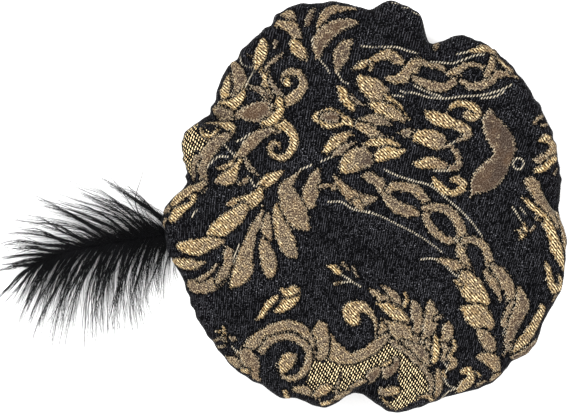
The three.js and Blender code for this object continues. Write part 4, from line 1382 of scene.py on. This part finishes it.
def into_frame(bm, name):
    """A mesh in the frame's metres, from a bmesh in millimetres round the cap's axis."""
    bmesh.ops.scale(bm, verts=bm.verts, vec=(MM, MM, MM))
    bmesh.ops.translate(bm, verts=bm.verts, vec=AXIS)
    mesh = bpy.data.meshes.new(name)
    bm.to_mesh(mesh)
    bm.free()
    return mesh


# %% [markdown]
# The band's cloth is plain: upright ribs crossed by fine rungs, paler where it is worn. The ribs follow
# the angle round the cap's axis. A whole number of them goes round, so no seam shows in the pattern.

# %% The headband's cloth
BAND_RIBS = 500
RUNG = 0.8 * MM
BAND_GRAIN = (1500, 1500, 1500)
BAND_WEAR = (60, 60, 60)
BAND_DARK = (0.004, 0.004, 0.005, 1)
BAND_LIGHT = (0.022, 0.022, 0.026, 1)
BAND_WORN = (0.04, 0.038, 0.04, 1)
WORN_SHARE = 0.4
RIB_AND_RUNG_LIGHT = 0.25


def band_cloth_finish():
    """Black ribbed cloth: upright ribs, a whole number of them round the band, and a fine weave."""
    cloth = Finish("black_band_cloth", roughness=0.7, specular=0.25)
    centred = cloth.node("ShaderNodeMapping", vector_type="POINT")
    cloth.plug(cloth.node("ShaderNodeTexCoord").outputs["Object"], centred.inputs["Vector"])
    centred.inputs["Location"].default_value = tuple(-AXIS)
    x, y, z = cloth.split(centred.outputs[0])
    round_it = cloth.math("ARCTAN2", y, x)
    rib = cloth.math("SINE", cloth.times(round_it, BAND_RIBS))
    rung = cloth.math("SINE", cloth.times(z, 2 * math.pi / RUNG))
    grain = cloth.noise(cloth.stretch(centred.outputs[0], BAND_GRAIN), 2)
    worn = cloth.noise(cloth.stretch(centred.outputs[0], BAND_WEAR), 2)
    light = cloth.plus(cloth.times(cloth.times(rib, rung), RIB_AND_RUNG_LIGHT), grain)
    dark = cloth.blend(cloth.ramp(light, 0.3, 0.8), BAND_DARK, BAND_LIGHT)
    cloth.colour(cloth.blend(cloth.ramp(worn, 0.55, 0.8, 0.0, WORN_SHARE), dark, BAND_WORN))
    cloth.bump(cloth.plus(cloth.times(rib, 0.5), cloth.times(rung, 0.3)), distance=0.15 * MM, strength=0.7)
    cloth.shader.inputs["Sheen Weight"].default_value = 0.1
    return cloth.material


# %% Put the headband together
band_bm = ring_of(BAND_WALL - 2 * INSET, BAND_HEIGHT - 2 * INSET, BAND_EDGE, BAND_ROWS, BAND_RADIUS, INSET,
                  BAND_STEPS)
seam_angle = math.radians(BACK_SEAM_AT)
for vert in band_bm.verts:
    spot = vert.co
    from_axis = math.hypot(spot.x, spot.y)
    outer_side = 1 if from_axis > BAND_RADIUS else -1
    rows_off = min(abs(spot.z - STITCH_ROW), abs(spot.z - BAND_HEIGHT + STITCH_ROW))
    around = math.atan2(spot.y, spot.x)
    seam_off = abs((around - seam_angle + math.pi) % (2 * math.pi) - math.pi) * BAND_RADIUS
    dimple = STITCH_DIMPLE * math.exp(-(rows_off / STITCH_DIMPLE_WIDTH) ** 2)
    dimple += SEAM_DIMPLE * math.exp(-(seam_off / SEAM_DIMPLE_WIDTH) ** 2)
    swell = BAND_SWELL * math.sin(BAND_SWELLS * around + BAND_SWELL_TWIST * spot.z)
    swell *= math.sin(math.pi * spot.z / BAND_HEIGHT)
    scale = 1 + (swell - outer_side * dimple * min(1, abs(from_axis - BAND_RADIUS))) / from_axis
    spot.x *= scale
    spot.y *= scale
band_material = band_cloth_finish()
headband = mesh_object("headband_cloth", into_frame(band_bm, "headband_cloth"), band_material)
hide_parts("headband")
print("Headband:", len(headband.data.polygons), "faces")

# %% [markdown]
# Many small things on the cap are the same thing laid along many short curves: stitches, barbs, and the
# fine down on the barbs. One tapered rod is modelled once. Copies of it are then bent along their own
# curves and kept as one mesh. The rod's own length tells how far along the curve each of its points lies.

# %% Bend copies of a rod along curves
def rod_template(sides, cuts, tip_share):
    """The points and faces of a rod from z = 0 to z = 1, one unit in radius, with a narrower end."""
    bm = bmesh.new()
    bmesh.ops.create_cone(bm, cap_ends=True, cap_tris=False, segments=sides, radius1=1, radius2=tip_share,
                          depth=1)
    bmesh.ops.translate(bm, verts=bm.verts, vec=(0, 0, 0.5))
    if cuts:
        upright = [edge for edge in bm.edges if abs(edge.verts[0].co.z - edge.verts[1].co.z) > 0.5]
        bmesh.ops.subdivide_edges(bm, edges=upright, cuts=cuts)
    bmesh.ops.triangulate(bm, faces=bm.faces)
    bmesh.ops.recalc_face_normals(bm, faces=bm.faces)
    points = np.array([vert.co for vert in bm.verts])
    faces = np.array([[vert.index for vert in face.verts] for face in bm.faces])
    bm.free()
    return points, faces


def bent_copies(name, template, curves, radii):
    """One mesh of many bent rods. curves, in millimetres round the axis, has copies x points x 3 numbers,
    and radii has copies x points: each curve's thickness along it."""
    points, faces = template
    count, steps, _ = curves.shape
    tangent = np.gradient(curves, axis=1)
    tangent /= np.linalg.norm(tangent, axis=2, keepdims=True)
    side = np.cross(tangent, (0, 0, 1.0))
    level = np.linalg.norm(side, axis=2, keepdims=True)
    side = np.where(level > 0.05, side / np.maximum(level, 1e-6), (1.0, 0, 0))
    up = np.cross(side, tangent)
    place = np.clip(points[:, 2], 0, 1) * (steps - 1)
    low = np.minimum(place.astype(int), steps - 2)
    share = (place - low)[None, :, None]

    def along(values):
        return values[:, low] * (1 - share) + values[:, low + 1] * share

    thickness = along(radii[:, :, None])
    made = along(curves) + thickness * (along(side) * points[:, 0, None] + along(up) * points[:, 1, None])
    all_faces = (faces[None] + (np.arange(count) * len(points))[:, None, None]).reshape(-1, faces.shape[1])
    mesh = bpy.data.meshes.new(name)
    mesh.from_pydata(made.reshape(-1, 3) * MM + AXIS, [], all_faces)
    return mesh


print("A rod with 3 sides and 11 cuts has", len(rod_template(3, 11, 0.3)[1]), "faces")

# %% Stitches
STITCH_LENGTH = 2.6
STITCH_PITCH = 4.0
STITCH_POINTS = 7
STITCH_CREST = 0.3
STITCH_DIP = 2.6
STITCH_ROW_INSET = 0.45
THREAD_RADIUS = 0.28
HEM_STITCHES = 96
HEM_STITCH_SLANT = 0.022  # radians round the band
HEM_STITCH_RISE = 3.6
HEM_STITCH_BOW = 0.7
HEM_STITCH_OUT = 1.2
THREAD_TWIST = (2600, 2600, 2600)
THREAD_DARK = (0.008, 0.008, 0.01, 1)
THREAD_LIGHT = (0.04, 0.04, 0.045, 1)


def row_of_stitches(radius, z, count, outward):
    """Running stitches round the band: short arcs that dip into the cloth at both ends."""
    turns = np.linspace(0, 2 * math.pi, count, endpoint=False)[:, None]
    share = np.linspace(-0.5, 0.5, STITCH_POINTS)[None]
    angles = turns + share * STITCH_LENGTH / radius
    height = outward * (STITCH_CREST - STITCH_DIP * share ** 2)
    return np.stack([(radius + height) * np.cos(angles), (radius + height) * np.sin(angles),
                     np.full_like(angles, z)], axis=2)


def hem_stitches():
    """Slanting stitches that sew the crown's gathered hem to the top of the band."""
    turns = np.linspace(0, 2 * math.pi, HEM_STITCHES, endpoint=False)[:, None]
    share = np.linspace(0, 1, STITCH_POINTS)[None]
    angles = turns + share * HEM_STITCH_SLANT
    bow = HEM_STITCH_BOW * np.sin(math.pi * share)
    radius = BAND_OUTER + INSET + bow + share * HEM_STITCH_OUT
    z = BAND_HEIGHT - HEM_STITCH_RISE + share * HEM_STITCH_RISE
    return np.stack([radius * np.cos(angles), radius * np.sin(angles), z + 0 * turns], axis=2)


def thread_finish():
    thread = Finish("black_sewing_thread", roughness=0.5, specular=0.3)
    place = thread.node("ShaderNodeTexCoord").outputs["Object"]
    twist = thread.noise(thread.stretch(place, THREAD_TWIST), 1)
    thread.colour(thread.blend(thread.ramp(twist, 0.35, 0.65), THREAD_DARK, THREAD_LIGHT))
    thread.bump(twist, distance=0.08 * MM, strength=0.6)
    return thread.material


stitch_count = round(2 * math.pi * BAND_OUTER / STITCH_PITCH)
inner_row = BAND_OUTER - BAND_WALL + STITCH_ROW_INSET
stitch_curves = np.concatenate([
    row_of_stitches(BAND_OUTER - STITCH_ROW_INSET, STITCH_ROW, stitch_count, 1),
    row_of_stitches(inner_row, STITCH_ROW, stitch_count, -1),
    row_of_stitches(inner_row, BAND_HEIGHT - STITCH_ROW, stitch_count, -1),
    hem_stitches(),
])
stitch_radii = np.full(stitch_curves.shape[:2], THREAD_RADIUS)
thread_material = thread_finish()
stitch_rod = rod_template(5, 5, 1.0)
stitches = mesh_object(
    "headband_stitches",
    bent_copies("headband_stitches", stitch_rod, stitch_curves, stitch_radii),
    thread_material)
print("Stitches:", len(stitch_curves))

# %% [markdown]
# The plume is an ostrich feather dyed black. Its quill runs from a tab on the headband out under the
# crown, and its barbs stand out on both sides in loose locks, which curl down on the lower side. A lock's
# barbs are drawn together near their feet and then run side by side, with a gap to the next lock. Fine
# down on the barbs makes the middle dense and the tips soft. The rows of numbers follow the CAD plume's,
# in shares of its reach, so the barbs fill the space of its solid locks, and none of them passes its end.

# %% The quill's route
PLUME_AT = math.radians(187)
PLUME_REACH = 160
TAB_LENGTH = 16
QUILL_RADIUS = 1.7
QUILL_TIP = 0.3
QUILL_ROOT = SEAM_RADIUS
QUILL_HEIGHT = UNDER_LEVEL / 2
QUILL_STEPS = 24
# Out, aside (anticlockwise) and up, shares of the reach
QUILL_ROUTE = [(0.32, -0.009, 0), (0.56, -0.002, 0.016), (0.8, 0.014, 0.022), (1, 0.062, 0.006)]

quill_points = [(QUILL_ROOT, 0, QUILL_HEIGHT), (QUILL_ROOT + TAB_LENGTH, 0, QUILL_HEIGHT)]
for out, aside, rise in QUILL_ROUTE:
    quill_points.append(
        (QUILL_ROOT + out * PLUME_REACH, aside * PLUME_REACH, QUILL_HEIGHT + rise * PLUME_REACH))
quill_line = smooth_run(quill_points, QUILL_STEPS)
quill_lengths = np.concatenate([[0], np.cumsum(np.linalg.norm(np.diff(quill_line, axis=0), axis=1))])
print("The quill is", round(float(quill_lengths[-1]), 1), "mm long")


def on_quill(share):
    """Points and directions on the quill, in the plume's own frame."""
    reached = np.asarray(share) * quill_lengths[-1]

    def at(length):
        spot = [np.interp(length, quill_lengths, quill_line[:, axis]) for axis in range(3)]
        return np.stack(spot, axis=-1)

    ahead = at(reached + 1) - at(reached - 1)
    return at(reached), np.arctan2(ahead[..., 1], ahead[..., 0])


def round_the_cap(points):
    """Turns points of the plume's frame to their place round the cap's axis."""
    cosine, sine = math.cos(PLUME_AT), math.sin(PLUME_AT)
    x = points[..., 0] * cosine - points[..., 1] * sine
    y = points[..., 0] * sine + points[..., 1] * cosine
    return np.stack([x, y, points[..., 2]], axis=-1)


# %% The barbs' sizes
# Rows for each side: along the quill, length as a share of the reach, degrees from the quill and degrees
# turned by the tip
UPPER_BARBS = np.array([
    (0.3, 0.54, 57, -32), (0.44, 0.6, 54, -33), (0.6, 0.55, 46, -28), (0.8, 0.44, 36, -20),
    (1, 0.2, 14, -6),
])
LOWER_BARBS = np.array([
    (0.3, 0.36, 48, 44), (0.42, 0.6, 48, 46), (0.62, 0.66, 42, 40), (0.8, 0.53, 34, 32),
    (1, 0.26, 16, 14),
])
# The first barb of the upper side stands up alone
CURLED_BARB = (0.41, 0.42, 56, 74)
CURLED_BARB_THICKNESS = 1.9
PLUME_SEED = 5
FIRST_BARB = 0.27
LAST_BARB = 0.995
OUTERMOST_BARB = 0.998
# Side -1 is the upper one and side 1 the lower one
BARBS_A_SIDE = {-1: 580, 1: 800}
BARBS_A_LOCK = {-1: (12, 36), 1: (8, 22)}
BARB_STEPS = 13
BARB_RADIUS = 0.3
BARB_THICKNESS = (0.6, 1.15)
BARB_TAPER = 0.78
BARB_LENGTHS = (0.58, 1.02)
LOCK_LENGTHS = (0.75, 1.1)
LOOSE_SHARE = 0.34
LOOSE_LENGTHS = (0.25, 0.6)
STRAY_SHARE = 0.05
# How unevenly barbs lean, curl and sway, in degrees: whole locks, stray and loose barbs, and the others
LOCK_LEAN = 3.2
STRAY_LEAN = 11
LOOSE_LEAN = 5
BARB_LEAN = 0.5
LOCK_CURL = 5
STRAY_CURL = 16
BARB_CURL = 1.1
LOCK_SWAY = 7
BARB_SWAY = 1
DRAWN_IN = 0.93
DRAWN_IN_BY = 0.4
HALF_BELL = 0.886  # the area under half a bell curve
LAYERS = (-2.2, 3.6)
LOCK_LAYER = 0.5
LOWEST_BARB = 1.5
PLUME_END = (cad_box[0][0] - AXIS[0]) / MM
TIP_SPREAD = 0.15
print("The plume ends", round(-PLUME_END, 1), "mm from the cap's axis")


# %% The barbs
def within_reach(lines):
    """Shortens barbs that would pass the CAD plume's end, each towards its foot and a little unevenly."""
    placed = round_the_cap(lines)[..., 0]
    foot = placed[:, 0]
    reach = np.maximum(foot - placed.min(axis=1), 0.1)
    room = (foot - PLUME_END) * (1 - TIP_SPREAD * np.abs(np.sin(np.arange(len(lines)))))
    share = np.clip(room / reach, 0, 1)[:, None, None]
    return lines[:, :1] * (1 - share) + lines * share


def barbs(rows, side, rng):
    """The centre lines of one side's barbs, in the plume's frame, and their thickness."""
    count = BARBS_A_SIDE[side]
    sizes = rng.integers(*BARBS_A_LOCK[side], count)
    lock = np.repeat(np.arange(count), sizes)[:count]
    locks = lock.max() + 1
    spots = (np.arange(count) + rng.uniform(-0.5, 0.5, count)) / (count - 1)
    place = np.clip(FIRST_BARB + (LAST_BARB - FIRST_BARB) * spots, FIRST_BARB, OUTERMOST_BARB)
    long, lean, curl = [np.interp(place, rows[:, 0], rows[:, column]) for column in (1, 2, 3)]
    stray = rng.random(count) < STRAY_SHARE
    loose = rng.random(count) < LOOSE_SHARE
    long = long * PLUME_REACH * rng.uniform(*BARB_LENGTHS, count) * rng.uniform(*LOCK_LENGTHS, locks)[lock]
    long = long * np.where(loose, rng.uniform(*LOOSE_LENGTHS, count), 1)
    lean = lean + rng.normal(0, LOCK_LEAN, locks)[lock] * ~loose
    leaning = np.where(stray, STRAY_LEAN, np.where(loose, LOOSE_LEAN, BARB_LEAN))
    lean = np.radians(lean + rng.normal(0, 1, count) * leaning)
    curl = curl + rng.normal(0, LOCK_CURL, locks)[lock]
    curl = np.radians(curl + rng.normal(0, 1, count) * np.where(stray, STRAY_CURL, BARB_CURL))
    lock_middle = (np.bincount(lock, place) / np.bincount(lock))[lock]
    drawn_in = DRAWN_IN * ~loose * (place - lock_middle) * quill_lengths[-1] * np.sin(lean) / long
    if side < 0:
        place[0], long[0], lean[0], curl[0] = CURLED_BARB
        long[0] *= PLUME_REACH
        lean[0], curl[0], drawn_in[0] = math.radians(lean[0]), math.radians(curl[0]), 0
    start, heading = on_quill(place)
    share = (np.arange(BARB_STEPS) / (BARB_STEPS - 1))[None]
    phase = rng.uniform(0, 2 * math.pi, locks)[lock][:, None]
    sway = np.radians(rng.normal(0, LOCK_SWAY, locks)[lock])[:, None] * np.sin(3 * math.pi * share + phase)
    sway = sway + np.radians(rng.normal(0, BARB_SWAY, count))[:, None] * np.sin(3 * math.pi * share)
    pull = np.exp(-(share / DRAWN_IN_BY) ** 2) / (HALF_BELL * DRAWN_IN_BY)
    turned = lean[:, None] + curl[:, None] * share + drawn_in[:, None] * pull
    direction = heading[:, None] + side * turned + sway
    step = (long / (BARB_STEPS - 1))[:, None]
    x = start[:, 0:1] + np.cumsum(np.cos(direction) * step, axis=1) - np.cos(direction[:, :1]) * step
    y = start[:, 1:2] + np.cumsum(np.sin(direction) * step, axis=1) - np.sin(direction[:, :1]) * step
    layer = rng.uniform(*LAYERS, count)[:, None] + rng.normal(0, LOCK_LAYER, locks)[lock][:, None]
    z = start[:, 2:3] + layer * (0.5 + 0.5 * np.sin(share * math.pi / 2))
    lines = within_reach(np.stack([x, y, np.maximum(z, LOWEST_BARB)], axis=2))
    thickness = rng.uniform(*BARB_THICKNESS, count)
    if side < 0:
        thickness[0] = CURLED_BARB_THICKNESS
    radii = BARB_RADIUS * thickness[:, None] * (1 - BARB_TAPER * share)
    return lines, radii


# %% [markdown]
# An ostrich feather's barbs carry soft down, longest near the quill. Each hair is a copy of one short
# rod, bent along four points, so that thousands of them stay cheap. One dull black finish with a fine
# grain does for the barbs, the down and the quill.

# %% The down on the barbs
DOWN_A_BARB = 27
DOWN_CROWDING = 1.8
DOWN_RADIUS = 0.075
DOWN_TAPER = 0.7
DOWN_LENGTH = 5.5
DOWN_AT_TIP = 0.6
DOWN_LENGTHS = (0.45, 1.1)
DOWN_FADE = 2.4
DOWN_LEAN = (22, 58)
DOWN_BEND = 0.45
DOWN_TILT = 0.22
DOWN_POINTS = 4
LOWEST_DOWN = 0.8
FLUFF = (1.9, 0.7)  # how fluffy the first and the last barb of a side are


def down(lines, rng):
    """Short hairs on both sides of every barb, longer and closer near its foot."""
    count = len(lines)
    share = np.sort(rng.uniform(0.02, 0.98, (count, DOWN_A_BARB)) ** DOWN_CROWDING, axis=1)
    place = share * (BARB_STEPS - 1)
    low = np.minimum(place.astype(int), BARB_STEPS - 2)
    rest = (place - low)[..., None]
    row = np.arange(count)[:, None]
    foot = lines[row, low] * (1 - rest) + lines[row, low + 1] * rest
    run = lines[row, low + 1] - lines[row, low]
    heading = np.arctan2(run[..., 1], run[..., 0])
    side = np.where(rng.random(share.shape) < 0.5, 1, -1)
    lean = np.radians(rng.uniform(*DOWN_LEAN, share.shape))
    fluff = np.linspace(*FLUFF, count)[:, None]
    length = DOWN_AT_TIP + DOWN_LENGTH * fluff * (1 - share) ** DOWN_FADE
    length = length * rng.uniform(*DOWN_LENGTHS, share.shape)
    tilt = rng.normal(0, DOWN_TILT, share.shape)
    steps = np.linspace(0, 1, DOWN_POINTS)
    hairs = np.zeros((*share.shape, DOWN_POINTS, 3))
    for number, part in enumerate(steps):
        direction = heading + side * lean * (1 - DOWN_BEND * part)
        hairs[..., number, 0] = foot[..., 0] + np.cos(direction) * length * part
        hairs[..., number, 1] = foot[..., 1] + np.sin(direction) * length * part
        hairs[..., number, 2] = foot[..., 2] + tilt * length * part
    hairs = hairs.reshape(-1, DOWN_POINTS, 3)
    hairs[..., 2] = np.maximum(hairs[..., 2], LOWEST_DOWN)
    radii = DOWN_RADIUS * (1 - DOWN_TAPER * steps)[None] * np.ones((len(hairs), 1))
    return hairs, radii


# %% The feather's finish
FEATHER_PATCHES = (160, 160, 160)
FEATHER_GRAIN = (1400, 1400, 1400)
PATCH_LIGHT = 0.6
GRAIN_LIGHT = 0.5


def feather_finish(name, dark, light):
    """Dyed barbs: soft black with a cool gleam, and a little paler here and there."""
    barb = Finish(name, roughness=0.5, specular=0.08)
    place = barb.node("ShaderNodeTexCoord").outputs["Object"]
    patch = barb.noise(barb.stretch(place, FEATHER_PATCHES), 2)
    fine = barb.noise(barb.stretch(place, FEATHER_GRAIN), 1)
    light_at = barb.plus(barb.times(patch, PATCH_LIGHT), barb.times(fine, GRAIN_LIGHT))
    barb.colour(barb.blend(barb.ramp(light_at, 0.4, 0.75), dark, light))
    barb.bump(fine, distance=0.1 * MM, strength=0.4)
    return barb.material


# %% The feather
QUILL_POINTS = 30

rng = np.random.default_rng(PLUME_SEED)
barb_black = feather_finish("black_barbs", (0.001, 0.001, 0.0014, 1), (0.006, 0.006, 0.0075, 1))
down_black = feather_finish("black_down", (0.0012, 0.0012, 0.0016, 1), (0.007, 0.007, 0.0085, 1))
barb_rod = rod_template(3, BARB_STEPS - 2, 1.0)
hair_rod = rod_template(3, 0, 0.3)
for side_name, rows, side in (("upper", UPPER_BARBS, -1), ("lower", LOWER_BARBS, 1)):
    lines, radii = barbs(rows, side, rng)
    hairs, hair_radii = down(lines, rng)
    barb_piece = mesh_object(
        f"plume_barbs_{side_name}",
        bent_copies(f"plume_barbs_{side_name}", barb_rod, round_the_cap(lines), radii), barb_black)
    down_piece = mesh_object(
        f"plume_down_{side_name}",
        bent_copies(f"plume_down_{side_name}", hair_rod, round_the_cap(hairs), hair_radii), down_black)
    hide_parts("plume")
    print(side_name, "barbs:", len(lines), "hairs:", len(hairs), "faces:",
          len(barb_piece.data.polygons) + len(down_piece.data.polygons))

quill_share = np.linspace(0, 1, QUILL_POINTS)
quill_centre, _ = on_quill(quill_share)
quill_radius = QUILL_RADIUS * (1 - (1 - QUILL_TIP) * quill_share)
quill_black = feather_finish("black_quill", (0.0015, 0.0015, 0.002, 1), (0.004, 0.004, 0.005, 1))
quill_rod = rod_template(10, QUILL_POINTS - 2, 1.0)
quill_curve = round_the_cap(quill_centre)[None]
quill = mesh_object(
    "plume_quill", bent_copies("plume_quill", quill_rod, quill_curve, quill_radius[None]), quill_black)
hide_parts("plume")

# %% [markdown]
# A fold of the band's own cloth holds the quill's root: a strip wrapped round it, whose edges are rolled
# and sewn. It is the CAD tab's sleeve with a rounded section, a slight waist and two rows of stitches.

# %% The tab that holds the quill
TAB_WALL = 1.6
TAB_CLEARANCE = 0.3
TAB_TURNS = 40
TAB_ROWS = 12
TAB_INSIDE = QUILL_RADIUS + TAB_CLEARANCE
TAB_MIDDLE = TAB_INSIDE + TAB_WALL / 2
TAB_ROUNDING = 0.6
TAB_WAIST = 0.22
TAB_RIPPLE = 0.12
TAB_RIPPLES = 5
TAB_RIPPLE_TWIST = 9
TAB_STITCHES = 9
TAB_STITCH_ROW = 2.2  # from each end of the tab
TAB_STITCH_SPREAD = 0.6
TAB_STITCH_INSET = 0.15
TAB_STITCH_CREST = 0.18
TAB_STITCH_DIP = 1.4
TAB_THREAD_RADIUS = 0.2


def tab_mesh():
    """A sleeve along the quill's root, spun from a rounded strip's outline, then waisted."""
    bm = ring_of(TAB_WALL - INSET, TAB_LENGTH - 2 * INSET, TAB_ROUNDING, TAB_ROWS, TAB_MIDDLE, INSET,
                 TAB_TURNS)
    for vert in bm.verts:
        from_middle = math.hypot(vert.co.x, vert.co.y)
        share = vert.co.z / TAB_LENGTH
        if from_middle > TAB_MIDDLE:
            ripple = math.sin(TAB_RIPPLES * math.atan2(vert.co.y, vert.co.x) + TAB_RIPPLE_TWIST * share)
            waist = TAB_WAIST * math.sin(math.pi * share) + TAB_RIPPLE * ripple
            vert.co.x *= 1 - waist / from_middle
            vert.co.y *= 1 - waist / from_middle
        spot = np.array([QUILL_ROOT + vert.co.z, vert.co.x, QUILL_HEIGHT + vert.co.y])
        vert.co = round_the_cap(spot)
    bmesh.ops.recalc_face_normals(bm, faces=bm.faces)
    return into_frame(bm, "quill_tab_cloth")


tab = mesh_object("quill_tab_cloth", tab_mesh(), band_material)
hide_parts("quill_tab")


def tab_stitches():
    """Two rings of small stitches round the sleeve."""
    rows = []
    radius = TAB_INSIDE + TAB_WALL - TAB_STITCH_INSET
    share = np.linspace(-0.5, 0.5, STITCH_POINTS)
    for out in (TAB_STITCH_ROW, TAB_LENGTH - TAB_STITCH_ROW):
        for number in range(TAB_STITCHES):
            angles = 2 * math.pi * (number + TAB_STITCH_SPREAD * share) / TAB_STITCHES
            height = radius + TAB_STITCH_CREST - TAB_STITCH_DIP * share ** 2
            x = np.full(STITCH_POINTS, QUILL_ROOT + out)
            y = height * np.cos(angles)
            z = QUILL_HEIGHT + height * np.sin(angles)
            rows.append(np.stack([x, y, z], axis=1))
    return np.array(rows)


tab_rows = tab_stitches()
tab_radii = np.full(tab_rows.shape[:2], TAB_THREAD_RADIUS)
tab_thread = mesh_object(
    "quill_tab_stitches",
    bent_copies("quill_tab_stitches", stitch_rod, round_the_cap(tab_rows), tab_radii),
    thread_material)
print("The tab is", round(TAB_LENGTH * MM, 3), "m long")
